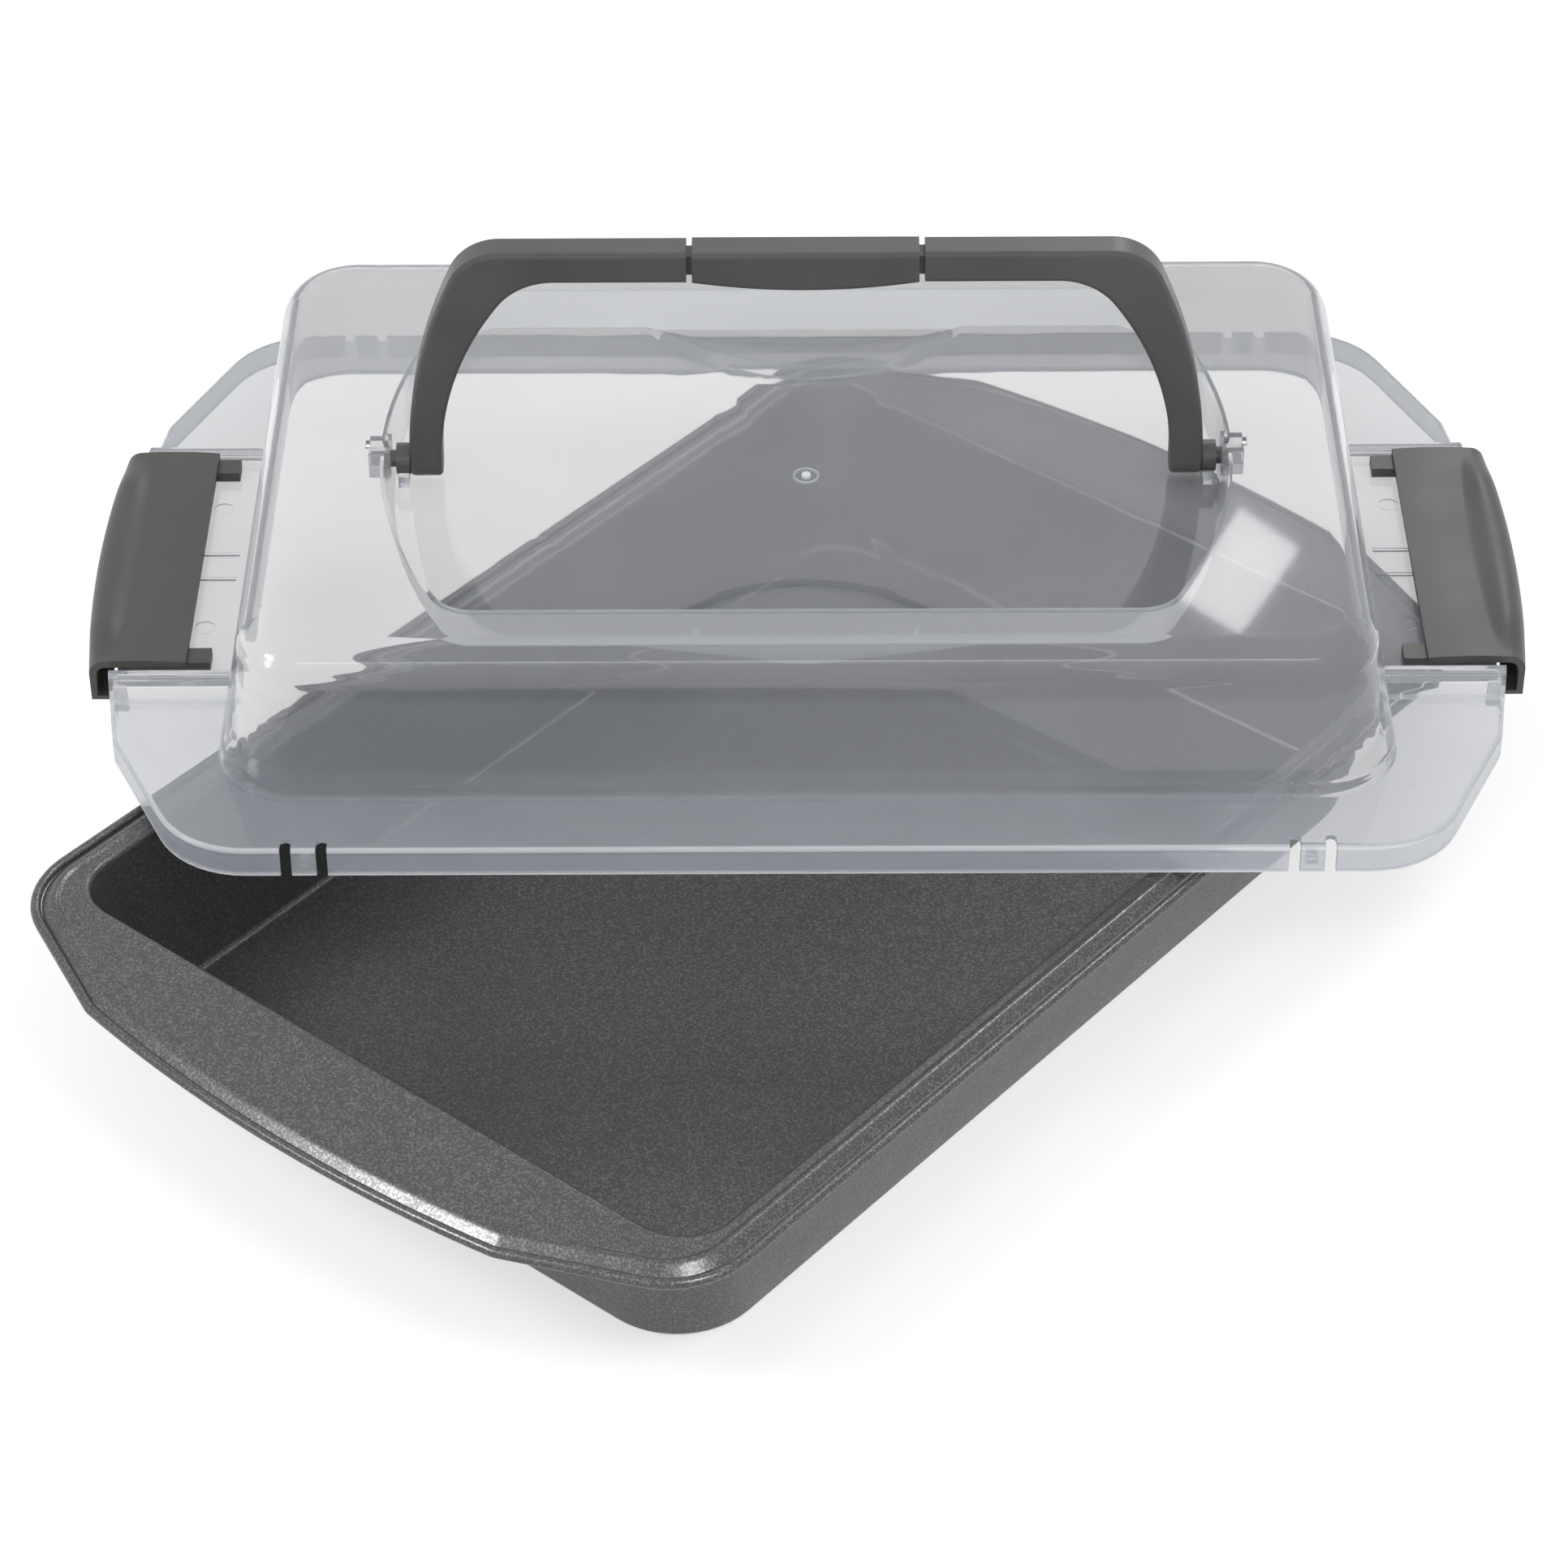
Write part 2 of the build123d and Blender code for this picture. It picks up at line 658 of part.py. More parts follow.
# The other arm is its mirror image
with BuildPart() as handle_arm_right:
    mirror(handle_arm_left.part, about=lid_section(0))
handle_arm_right.part.label = "handle_arm_right"
export_step(handle_arm_right.part, "parts/handle_arm_right.step")

# Thicker grip between the two grooves
grip_half_length = groove_x - groove_width / 2
with BuildPart() as handle_grip:
    with BuildSketch(lid_elevation(0)):
        with BuildLine():
            Polyline(
                (-grip_half_length, handle_top - bar_height),
                (-grip_half_length, handle_top),
                (grip_half_length, handle_top),
                (grip_half_length, handle_top - bar_height),
            )
            ThreePointArc(
                (grip_half_length, handle_top - bar_height),
                (0, handle_top - bar_height - grip_bulge),
                (-grip_half_length, handle_top - bar_height),
            )
        make_face()
    extrude(amount=grip_depth / 2, both=True)
    grip_edges = handle_grip.edges().filter_by(lid_across, reverse=True)
    fillet(
        grip_edges.filter_by(
            lambda e: abs(lid_plane.to_local_coords(e.center()).X) < grip_half_length - 0.1
        ),
        radius=handle_round,
    )
    for side in (-1, 1):
        with BuildSketch(lid_section(side * grip_half_length)):
            with Locations((0, bar_middle)):
                Rectangle(spigot_size + 2 * spigot_clearance, spigot_size + 2 * spigot_clearance)
        extrude(amount=-side * (spigot_length + spigot_clearance), mode=Mode.SUBTRACT)
handle_grip.part.label = "handle_grip"
export_step(handle_grip.part, "parts/handle_grip.step")


def latch_plan(side, inner_x, wall, half_width):
    """Plan of a latch, with its outer edge drawn in by a wall."""
    with BuildSketch() as plan:
        with BuildLine():
            Polyline(
                (side * (latch_end_x - wall), half_width),
                (side * inner_x, half_width),
                (side * inner_x, -half_width),
                (side * (latch_end_x - wall), -half_width),
            )
            ThreePointArc(
                (side * (latch_end_x - wall), -half_width),
                (side * (latch_middle_x - wall), 0),
                (side * (latch_end_x - wall), half_width),
            )
        make_face()
    return plan.sketch


# Sliding end latches: crowned plate, outer wall with its hook, two guides with stems and feet
guide_base = shelf_height + slide_clearance
guide_tip_x = latch_inner_x - guide_lead
guide_end_x = latch_end_x - guide_end_gap
foot_top = shelf_height - lid_wall - slide_clearance
stem_middle_x = stem_inner_x + stem_length / 2
plate_under = latch_edge_height - latch_plate
guide_top = plate_under + guide_cover
crown_height = latch_edge_height + latch_crown
crown_middle_x = (latch_inner_x + latch_end_x) / 2
for side, hand in ((-1, "left"), (1, "right")):
    outer_plan = latch_plan(side, latch_inner_x, 0, latch_half_width)
    hollow_plan = latch_plan(side, latch_inner_x - overrun, latch_wall, latch_half_width + overrun)
    mouth_plan = latch_plan(
        side, latch_inner_x - overrun, latch_wall + hook_reach, latch_half_width + overrun
    )
    with BuildPart() as latch_hollow:
        with BuildSketch(lid_level(hook_base + hook_thickness)):
            add(hollow_plan)
        extrude(amount=plate_under - hook_base - hook_thickness)
        top_edges = latch_hollow.edges().group_by(Axis.Z)[-1].filter_by(GeomType.CIRCLE)
        fillet(top_edges, radius=latch_inner_round)
    with BuildPart() as latch:
        with BuildSketch(lid_level(hook_base)):
            add(outer_plan)
        extrude(amount=crown_height - hook_base)
        with BuildSketch(lid_elevation(0)):
            with Locations((side * crown_middle_x, crown_height - latch_crown_radius)):
                Circle(latch_crown_radius)
        extrude(amount=latch_half_width + overrun, both=True, mode=Mode.INTERSECT)
        outer_edges = latch.edges().filter_by(
            lambda e: abs(lid_plane.to_local_coords(e.center()).X) > latch_end_x
            and lid_plane.to_local_coords(e.center()).Z > plate_under
        )
        fillet(outer_edges, radius=latch_round)
        add(latch_hollow.part, mode=Mode.SUBTRACT)
        with BuildSketch(lid_level(hook_base)):
            add(mouth_plan)
        extrude(amount=hook_thickness, mode=Mode.SUBTRACT)
        for edge in (-1, 1):
            with BuildSketch(lid_level(guide_base)):
                with Locations((side * (guide_tip_x + guide_end_x) / 2, edge * guide_middle_v)):
                    Rectangle(guide_end_x - guide_tip_x, guide_width)
            extrude(amount=guide_top - guide_base)
            with BuildSketch(lid_level(foot_top - foot_height)):
                with Locations((side * stem_middle_x, edge * guide_middle_v)):
                    Rectangle(stem_length, stem_width)
            extrude(amount=guide_base - foot_top + foot_height)
            with BuildSketch(lid_level(foot_top - foot_height)):
                with Locations((side * stem_middle_x, edge * guide_middle_v)):
                    Rectangle(stem_length, foot_width)
            extrude(amount=foot_height)
    latch.part.label = f"latch_{hand}"
    export_step(latch.part, f"parts/latch_{hand}.step")
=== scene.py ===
"""Oblong cake pan with a clear carry lid turned on its rim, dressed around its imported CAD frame.

Sizes in the classes are millimetres, and meshes are written in metres. The lid has its own frame:
u along the lid, v across it and w up from its lower edge, placed by the handle's fold joint.
"""
import json
import logging
from dataclasses import dataclass, field
from enum import Enum
from math import asin, atan2, cos, pi, radians, sin, tan
from typing import Any, Sequence

import bmesh
import bpy
from bpy.types import Collection, ID, Material, Mesh, Node, NodeSocket, NodeTree, Object
from mathutils import Matrix, Vector


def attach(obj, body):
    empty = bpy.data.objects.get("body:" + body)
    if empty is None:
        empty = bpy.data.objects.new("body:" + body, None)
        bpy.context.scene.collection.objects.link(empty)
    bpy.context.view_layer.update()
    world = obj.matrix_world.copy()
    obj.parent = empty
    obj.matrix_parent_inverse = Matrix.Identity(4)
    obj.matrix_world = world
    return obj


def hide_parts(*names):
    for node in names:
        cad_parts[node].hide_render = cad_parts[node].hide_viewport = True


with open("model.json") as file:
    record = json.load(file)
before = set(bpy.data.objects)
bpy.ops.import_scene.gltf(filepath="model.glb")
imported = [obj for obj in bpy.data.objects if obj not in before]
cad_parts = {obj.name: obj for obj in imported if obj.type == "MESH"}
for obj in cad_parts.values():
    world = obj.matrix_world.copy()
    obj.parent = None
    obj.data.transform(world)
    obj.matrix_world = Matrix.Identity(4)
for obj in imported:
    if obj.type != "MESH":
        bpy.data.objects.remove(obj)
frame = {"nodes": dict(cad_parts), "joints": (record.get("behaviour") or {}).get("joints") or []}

Pair = tuple[float, float]
Point = tuple[float, float, float]
Ring = list[Point]

LOG = logging.getLogger("cake_pan")
MM = 0.001
PIVOT_HEIGHT = 50.6         # handle pivots above the lower edge of the lid
NEW_CREASE = 40.0           # edges of new pieces that turn by more degrees than this stay sharp


class Side(Enum):
    """End of the lid, as its direction along u."""

    LEFT = -1
    RIGHT = 1


class Body(Enum):
    """Body of the model that a piece moves with."""

    PAN = "pan"
    LID = "lid"
    HANDLE = "carry_handle"
    LEFT_LATCH = "left_latch"
    RIGHT_LATCH = "right_latch"


class Lit(Enum):
    """What a lamp lights. A studio flags lamps off glass to keep glare off it."""

    ALL = "all"
    OPAQUE = "all_but_the_lid"
    PAN = "pan_and_table"
    LID = "lid_only"


class Slot(Enum):
    """Material slot of the record, by name."""

    COAT = "coated_steel"
    CLEAR = "clear_plastic"
    GREY = "grey_plastic"


# Colour and node helpers

def shade(hex_colour: str) -> tuple[float, float, float, float]:
    """Turn an sRGB hex colour into the linear colour that shaders use.

    Args:
        hex_colour: Six hex digits, with or without a leading #.

    Returns:
        Linear red, green and blue, with an alpha of one.
    """
    digits = hex_colour.lstrip("#")
    parts = [int(digits[i:i + 2], 16) / 255 for i in (0, 2, 4)]
    linear = [c / 12.92 if c <= 0.04045 else ((c + 0.055) / 1.055) ** 2.4 for c in parts]
    return (linear[0], linear[1], linear[2], 1.0)


def add_node(tree: NodeTree, kind: str, settings: dict[str, Any] | None = None,
             inputs: dict[str | int, Any] | None = None) -> Node:
    """Add a node, set its options, and set or link its inputs.

    Args:
        tree: The node tree that gets the node.
        kind: Blender's type name of the node.
        settings: Options of the node itself, by attribute.
        inputs: Values or output sockets, by input name or number.

    Returns:
        The new node.
    """
    node = tree.nodes.new(kind)
    for name, value in (settings or {}).items():
        setattr(node, name, value)
    for key, value in (inputs or {}).items():
        if isinstance(value, NodeSocket):
            tree.links.new(value, node.inputs[key])
        else:
            node.inputs[key].default_value = value
    return node


def new_material(name: str) -> tuple[Material, NodeTree]:
    """Start a material with an empty node tree."""
    material = bpy.data.materials.new(name)
    material.use_nodes = True
    material.node_tree.nodes.clear()
    return material, material.node_tree


def chain(tree: NodeTree, operation: str, *values: NodeSocket | float) -> NodeSocket:
    """Carry one maths operation on from value to value, and give the last result."""
    total = values[0]
    for value in values[1:]:
        total = add_node(tree, "ShaderNodeMath", {"operation": operation},
                         {0: total, 1: value}).outputs[0]
    return total


def add_object(name: str, data: ID) -> Object:
    """Put an object with the given data in the scene."""
    obj = bpy.data.objects.new(name, data)
    bpy.context.scene.collection.objects.link(obj)
    return obj


def settle(carrier: Object) -> Mesh:
    """Turn an object with modifiers into a plain mesh, and remove the object."""
    graph = bpy.context.evaluated_depsgraph_get()
    plain = bpy.data.meshes.new_from_object(carrier.evaluated_get(graph))
    bpy.data.objects.remove(carrier)
    return plain


# The lid's own axes

@dataclass(frozen=True)
class LidSpace:
    """Where the lid's own axes lie in the scene, in millimetres and radians."""

    origin: Vector
    turn: float

    @classmethod
    def find(cls) -> "LidSpace":
        """Find the lid from the joint that folds its handle."""
        fold = next(j for j in frame["joints"] if j["name"] == "handle_fold")
        pivot, axis = Vector(fold["pos_m"]) / MM, Vector(fold["axis"])
        return cls(pivot - Vector((0, 0, PIVOT_HEIGHT)), atan2(axis.y, axis.x))

    def point(self, u: float, v: float, w: float) -> Point:
        """Turn a place in the lid's axes into a place in the scene, in millimetres."""
        return (self.origin.x + u * cos(self.turn) - v * sin(self.turn),
                self.origin.y + u * sin(self.turn) + v * cos(self.turn), self.origin.z + w)


# Finishes

@dataclass(frozen=True)
class BakeCoat:
    """Non-stick bake coat sprayed on pressed steel.

    To the eye it is a dark plain grey with a fine metallic speckle: pale flakes in the coat catch the
    light one by one, so that bright edges look grainy and flats look like fine sandpaper.
    """

    name: str = "sprayed_nonstick_coat"
    base: str = "#545455"
    flake: str = "#6f6f71"
    dark: str = "#49494a"
    grain_shows: tuple[float, ...] = (0.34, 0.52, 0.78)     # noise at dark, base and flake
    flake_mm: float = 0.65      # real flakes are near 0.1 mm; drawn as coarse as they need to show
    mottle_mm: float = 9.0      # slow changes of the gloss, as a sprayed coat has
    roughness: float = 0.3
    metallic: Pair = (0.62, 0.8)     # of the coat and of a flake

    def build(self) -> Material:
        """Make the coat's material.

        Returns:
            The material.
        """
        material, tree = new_material(self.name)
        place = add_node(tree, "ShaderNodeTexCoord").outputs["Object"]
        grain = add_node(tree, "ShaderNodeTexNoise", {"noise_dimensions": "3D"},
                         {"Vector": place, "Scale": 1 / (self.flake_mm * MM), "Detail": 0.0})
        mottle = add_node(tree, "ShaderNodeTexNoise", {}, {"Vector": place,
                          "Scale": 1 / (self.mottle_mm * MM), "Detail": 3.0})
        flakes = add_node(tree, "ShaderNodeValToRGB", {}, {"Fac": grain.outputs["Fac"]})
        low, middle, high = self.grain_shows
        marks = flakes.color_ramp.elements
        for mark, at, colour in zip(marks, (low, high), (self.dark, self.flake)):
            mark.position, mark.color = at, shade(colour)
        marks.new(middle).color = shade(self.base)
        sheen = add_node(tree, "ShaderNodeMapRange", {}, {"Value": grain.outputs["Fac"],
                         "From Min": 0.35, "From Max": 0.75, "To Min": self.metallic[0],
                         "To Max": self.metallic[1]})
        rough = add_node(tree, "ShaderNodeMapRange", {}, {"Value": mottle.outputs["Fac"],
                         "From Min": 0.3, "From Max": 0.7, "To Min": self.roughness - 0.02,
                         "To Max": self.roughness + 0.03})
        bump = add_node(tree, "ShaderNodeBump", {}, {"Height": grain.outputs["Fac"], "Strength": 0.04,
                        "Distance": 0.04 * MM})
        coat = add_node(tree, "ShaderNodeBsdfPrincipled", {}, {
            "Base Color": flakes.outputs["Color"], "Metallic": sheen.outputs["Result"],
            "Roughness": rough.outputs["Result"], "Normal": bump.outputs["Normal"]})
        add_node(tree, "ShaderNodeOutputMaterial", {}, {"Surface": coat.outputs["BSDF"]})
        return material


@dataclass(frozen=True)
class SatinPlastic:
    """Injection-moulded polypropylene with a fine satin texture.

    To the eye it is a warm mid-dark grey with broad soft highlights along its rounded edges.
    """

    name: str
    base: str
    dark: str
    roughness: float = 0.38
    texture_mm: float = 0.5     # size of the grain in the plastic's skin
    flow_scale: float = 35.0    # slow changes of tone that the melt leaves, per metre

    def build(self) -> Material:
        """Make the plastic's material.

        Returns:
            The material.
        """
        material, tree = new_material(self.name)
        place = add_node(tree, "ShaderNodeTexCoord").outputs["Object"]
        skin = add_node(tree, "ShaderNodeTexNoise", {}, {"Vector": place,
                        "Scale": 1 / (self.texture_mm * MM), "Detail": 2.0})
        flow = add_node(tree, "ShaderNodeTexNoise", {}, {"Vector": place, "Scale": self.flow_scale,
                        "Detail": 3.0})
        tint = add_node(tree, "ShaderNodeValToRGB", {}, {"Fac": flow.outputs["Fac"]})
        for mark, at, colour in zip(tint.color_ramp.elements, (0.3, 0.7), (self.dark, self.base)):
            mark.position, mark.color = at, shade(colour)
        rough = add_node(tree, "ShaderNodeMapRange", {}, {"Value": flow.outputs["Fac"],
                         "From Min": 0.3, "From Max": 0.7, "To Min": self.roughness - 0.04,
                         "To Max": self.roughness + 0.04})
        bump = add_node(tree, "ShaderNodeBump", {}, {"Height": skin.outputs["Fac"], "Strength": 0.12,
                        "Distance": 0.05 * MM})
        body = add_node(tree, "ShaderNodeBsdfPrincipled", {}, {
            "Base Color": tint.outputs["Color"], "Roughness": rough.outputs["Result"], "IOR": 1.49,
            "Normal": bump.outputs["Normal"]})
        add_node(tree, "ShaderNodeOutputMaterial", {}, {"Surface": body.outputs["BSDF"]})
        return material


Band = tuple[float, float, float]       # middle, half its width, and half the width of its borders


@dataclass(frozen=True)
class ClearPlastic:
    """Clear injection-moulded polypropylene, 1.5 mm thick.

    To the eye it is glossy and slightly milky: each wall greys and clouds what lies behind it, its
    rounded shoulders bend the lines of the pan into waves, and white highlights are painted on its edges.
    """

    name: str = "clear_moulded_polypropylene"
    tint: str = "#e5e4e2"
    haze: str = "#e1e6f0"
    # Colour of the painted white highlights
    highlight_paint: str = "#fafcfe"
    # Share of each surface that is haze, by height above the lid's lower edge in millimetres. The
    # flange and skirt are the milkiest, and the plateau and the well's floor the clearest
    # Part of this haze is painted light: it lifts the flange, skirt and near wall out of the lamps' shade
    haze_and_painted_lift: tuple[Pair, ...] = (
        (6.5, 0.4), (7.5, 0.29), (9.5, 0.25), (12, 0.19), (40, 0.185), (43, 0.15), (52, 0.165),
        (60, 0.175))
    ramp_span: float = 60.0     # height that a ramp's end stands for
    edge_veil: float = 0.05     # share that is added where a surface is seen edge on
    highlight_veil: float = 0.86     # haze share where the white highlights are painted
    cloud_scale: float = 30.0   # slow changes of the haze, per metre
    # Bands with painted white highlights, in millimetres along, across and above the lower edge
    well: tuple[Band, ...] = ((0, 117, 3), (0, 84, 0.5), (50, 7, 0.4))
    scoops: tuple[Band, ...] = ((0, 56, 5), (0, 93, 0.5), (49.3, 4.5, 0.2))
    foot: Band = (0, 0.55, 0.2)         # the skirt's cut edge
    brow: Band = (8.2, 0.9, 0.2)        # the skirt's top bend
    gate_stub: Band = (0, 1.4, 0.1)     # distance from the gate mark's middle in the well
    gate_ring: Band = (3.55, 0.35, 0.15)
    steep: Band = (0, 0.75, 0.12)       # upward part of the normal on the well's walls
    brow_tilt: Band = (0.6, 0.32, 0.05)         # the same on the top bend
    highlight_shares: tuple[float, ...] = (0.5, 0.35, 0.55)       # strength of the painted highlight on scoops, ring and brow
    # Slope of the outside's waves against its height above the lower edge, in millimetres. The real
    # wall is thicker and thinner round its bends, so that it bends what lies behind it like a lens
    waves: tuple[Pair, ...] = (
        (9.1, 0.0), (10.5, -0.23), (12, 0.0), (13.5, 0.22), (15, 0.0), (44.8, 0.0), (47, -0.16),
        (49.3, 0.0), (52.2, 0.27), (55, 0.0))
    calm: tuple[Band, ...] = ((0, 130, 0.5), (0, 88, 0.5))      # no waves inside this, the well
    lamp_pass: float = 0.85     # share of a lamp's light that each surface lets through
    ior: float = 1.49
    roughness: float = 0.03

    def build(self) -> Material:
        """Make the clear plastic's material.

        Returns:
            The material.
        """
        material, tree = new_material(self.name)
        place = add_node(tree, "ShaderNodeTexCoord").outputs["Object"]
        space = LidSpace.find()
        local = add_node(tree, "ShaderNodeMapping", {"vector_type": "TEXTURE"},
                         {"Vector": place, "Location": space.origin * MM, "Rotation": (0, 0, space.turn)})
        axes = add_node(tree, "ShaderNodeSeparateXYZ", {}, {0: local.outputs["Vector"]}).outputs
        normal = add_node(tree, "ShaderNodeNewGeometry").outputs["Normal"]
        tilt = add_node(tree, "ShaderNodeSeparateXYZ", {}, {0: normal}).outputs["Z"]
        facing = add_node(tree, "ShaderNodeLayerWeight", {}, {"Blend": 0.5}).outputs["Facing"]
        slant = chain(tree, "MULTIPLY", chain(tree, "POWER", facing, 3.0), self.edge_veil)
        cloud = add_node(tree, "ShaderNodeTexNoise", {}, {"Vector": place, "Scale": self.cloud_scale,
                         "Detail": 2.0})
        drift = add_node(tree, "ShaderNodeMapRange", {}, {"Value": cloud.outputs["Fac"],
                         "From Min": 0.3, "From Max": 0.7, "To Min": 0.94, "To Max": 1.06})
        haze_and_lift = chain(tree, "ADD", slant, self.by_height(tree, axes["Z"], self.haze_and_painted_lift))
        plain = chain(tree, "MULTIPLY", haze_and_lift, drift.outputs["Result"])
        # Painted highlights: whiter, more solid haze on edges and walls
        painted_highlights = self.painted_highlights(tree, axes, tilt)
        solid = add_node(tree, "ShaderNodeMapRange", {}, {"Value": painted_highlights, "To Min": plain,
                         "To Max": self.highlight_veil})
        colour = add_node(tree, "ShaderNodeMix", {"data_type": "RGBA"}, {0: painted_highlights,
                          6: shade(self.haze), 7: shade(self.highlight_paint)})
        glass = add_node(tree, "ShaderNodeBsdfPrincipled", {}, {"Base Color": shade(self.tint),
                         "Roughness": self.roughness, "IOR": self.ior, "Transmission Weight": 1.0,
                         "Normal": self.wavy(tree, axes, normal, tilt)})
        milk = add_node(tree, "ShaderNodeBsdfDiffuse", {}, {"Color": colour.outputs[2]})
        wall = add_node(tree, "ShaderNodeMixShader", {}, {0: solid.outputs["Result"],
                        1: glass.outputs["BSDF"], 2: milk.outputs["BSDF"]})
        path = add_node(tree, "ShaderNodeLightPath")
        lamp = add_node(tree, "ShaderNodeBsdfTransparent", {}, {"Color": (self.lamp_pass,) * 3 + (1,)})
        whole = add_node(tree, "ShaderNodeMixShader", {}, {0: path.outputs["Is Shadow Ray"],
                         1: wall.outputs["Shader"], 2: lamp.outputs["BSDF"]})
        add_node(tree, "ShaderNodeOutputMaterial", {}, {"Surface": whole.outputs["Shader"]})
        return material

    def by_height(self, tree: NodeTree, height: NodeSocket,
                  stops: Sequence[Pair]) -> NodeSocket:
        """Make a value that follows the height above the lid's lower edge.

        Args:
            tree: The material's tree.
            height: Height in metres.
            stops: Heights in millimetres, each with its value from 0 to 1.

        Returns:
            The value's socket.
        """
        ramp = add_node(tree, "ShaderNodeValToRGB", {},
                        {"Fac": chain(tree, "DIVIDE", height, self.ramp_span * MM)})
        ramp.color_ramp.interpolation = "EASE"
        marks = ramp.color_ramp.elements
        while len(marks) < len(stops):
            marks.new(1.0)
        for mark, (at, value) in zip(marks, stops):
            mark.position = at / self.ramp_span
            mark.color = (value, value, value, 1.0)
        return ramp.outputs["Color"]

    def band(self, tree: NodeTree, value: NodeSocket, span: Band, unit: float = MM) -> NodeSocket:
        """Mark where a value lies in a band.

        Args:
            tree: The material's tree.
            value: The value.
            span: The band.
            unit: The unit that the band is given in.

        Returns:
            A socket that is 1 inside the band and 0 outside it.
        """
        middle, half, soft = (size * unit for size in span)
        away = add_node(tree, "ShaderNodeMath", {"operation": "ABSOLUTE"},
                        {0: chain(tree, "SUBTRACT", value, middle)})
        return add_node(tree, "ShaderNodeMapRange", {}, {"Value": away.outputs[0],
                        "From Min": half - soft, "From Max": half + soft, "To Min": 1.0,
                        "To Max": 0.0}).outputs["Result"]

    def inside(self, tree: NodeTree, axes: Any, spans: Sequence[Band]) -> NodeSocket:
        """Mark with 1 what lies inside a box, given by its bands along the lid's axes."""
        return chain(tree, "MULTIPLY", *(self.band(tree, axes[axis], span)
                                         for axis, span in zip("XYZ", spans)))

    def painted_highlights(self, tree: NodeTree, axes: Any, tilt: NodeSocket) -> NodeSocket:
        """Mark the well's walls and scoops, the skirt's two edges and the gate mark, for painted
        highlights.

        Args:
            tree: The material's tree.
            axes: The place in the lid's own axes.
            tilt: Upward part of the normal.

        Returns:
            A socket that is 1 there and 0 elsewhere.
        """
        walls = chain(tree, "MULTIPLY", self.inside(tree, axes, self.well),
                      self.band(tree, tilt, self.steep, 1.0))
        scoops = self.inside(tree, axes, self.scoops)
        foot = self.band(tree, axes["Z"], self.foot)
        brow = chain(tree, "MULTIPLY", self.band(tree, axes["Z"], self.brow),
                     self.band(tree, tilt, self.brow_tilt, 1.0))
        flat = add_node(tree, "ShaderNodeCombineXYZ", {}, {0: axes["X"], 1: axes["Y"]})
        far = add_node(tree, "ShaderNodeVectorMath", {"operation": "LENGTH"},
                       {0: flat.outputs[0]}).outputs["Value"]
        stub = self.band(tree, far, self.gate_stub)
        ring = self.band(tree, far, self.gate_ring)
        dim = [chain(tree, "MULTIPLY", part, share)
               for part, share in zip((scoops, ring, brow), self.highlight_shares)]
        return chain(tree, "MAXIMUM", walls, foot, stub, *dim)

    def wavy(self, tree: NodeTree, axes: Any, normal: NodeSocket, tilt: NodeSocket) -> NodeSocket:
        """Tilt the outside's normals as the uneven thickness of the wall does round its bends.

        Args:
            tree: The material's tree.
            axes: The place in the lid's own axes.
            normal: The smooth normal.
            tilt: Upward part of the normal.

        Returns:
            The tilted normal's socket.
        """
        half = 0.5      # a ramp holds no values below 0, so it holds the slope and a half
        ramp = self.by_height(tree, axes["Z"], [(at, half + value) for at, value in self.waves])
        busy = chain(tree, "SUBTRACT", 1.0, self.inside(tree, axes, self.calm))
        shown = chain(tree, "MULTIPLY", chain(tree, "SUBTRACT", ramp, half),
                      chain(tree, "GREATER_THAN", tilt, 0.0), busy)
        keep = chain(tree, "ADD", chain(tree, "MULTIPLY", shown, tilt), 1.0)
        kept = add_node(tree, "ShaderNodeVectorMath", {"operation": "SCALE"}, {0: normal, "Scale": keep})
        lift = add_node(tree, "ShaderNodeCombineXYZ", {}, {2: shown})
        bent = add_node(tree, "ShaderNodeVectorMath", {"operation": "SUBTRACT"},
                        {0: kept.outputs[0], 1: lift.outputs[0]})
        return add_node(tree, "ShaderNodeVectorMath", {"operation": "NORMALIZE"},
                        {0: bent.outputs[0]}).outputs[0]


# Mesh helpers

def smooth_step(t: float) -> float:
    """Ease a share from 0 to 1 with flat ends."""
    t = min(1.0, max(0.0, t))
    return t * t * (3 - 2 * t)


def mix(a: float, b: float, t: float) -> float:
    """Go from a to b by the share t."""
    return a + (b - a) * t


def arc_between(start: Point, corner: Point, end: Point, turn: float, steps: int) -> list[Point]:
    """Round a corner with a true arc between two tangent points.

    Args:
        start: Where the arc leaves the first side.
        corner: Where the two sides would meet.
        end: Where the arc joins the second side.
        turn: Angle that the path turns through, in radians.
        steps: How many pieces the arc has.

    Returns:
        The arc's points, both ends included.
    """
    weight = cos(turn / 2)
    points = []
    for i in range(steps + 1):
        t = i / steps
        shares = ((1 - t) ** 2, 2 * t * (1 - t) * weight, t ** 2)
        total = sum(shares)
        points.append(tuple(sum(s * p[k] for s, p in zip(shares, (start, corner, end))) / total
                            for k in range(3)))
    return points


def quarters(quarter: Sequence[Point]) -> Ring:
    """Mirror the points of one quarter into a closed ring, anticlockwise.

    Args:
        quarter: Points from the middle of the far long side round to the middle of the right end.

    Returns:
        The whole ring.
    """
    right = list(reversed(quarter))
    first = right[:-1]
    second = [(-x, y, z) for x, y, z in quarter][:-1]
    third = [(-x, -y, z) for x, y, z in right][:-1]
    fourth = [(x, -y, z) for x, y, z in quarter][:-1]
    return first + second + third + fourth


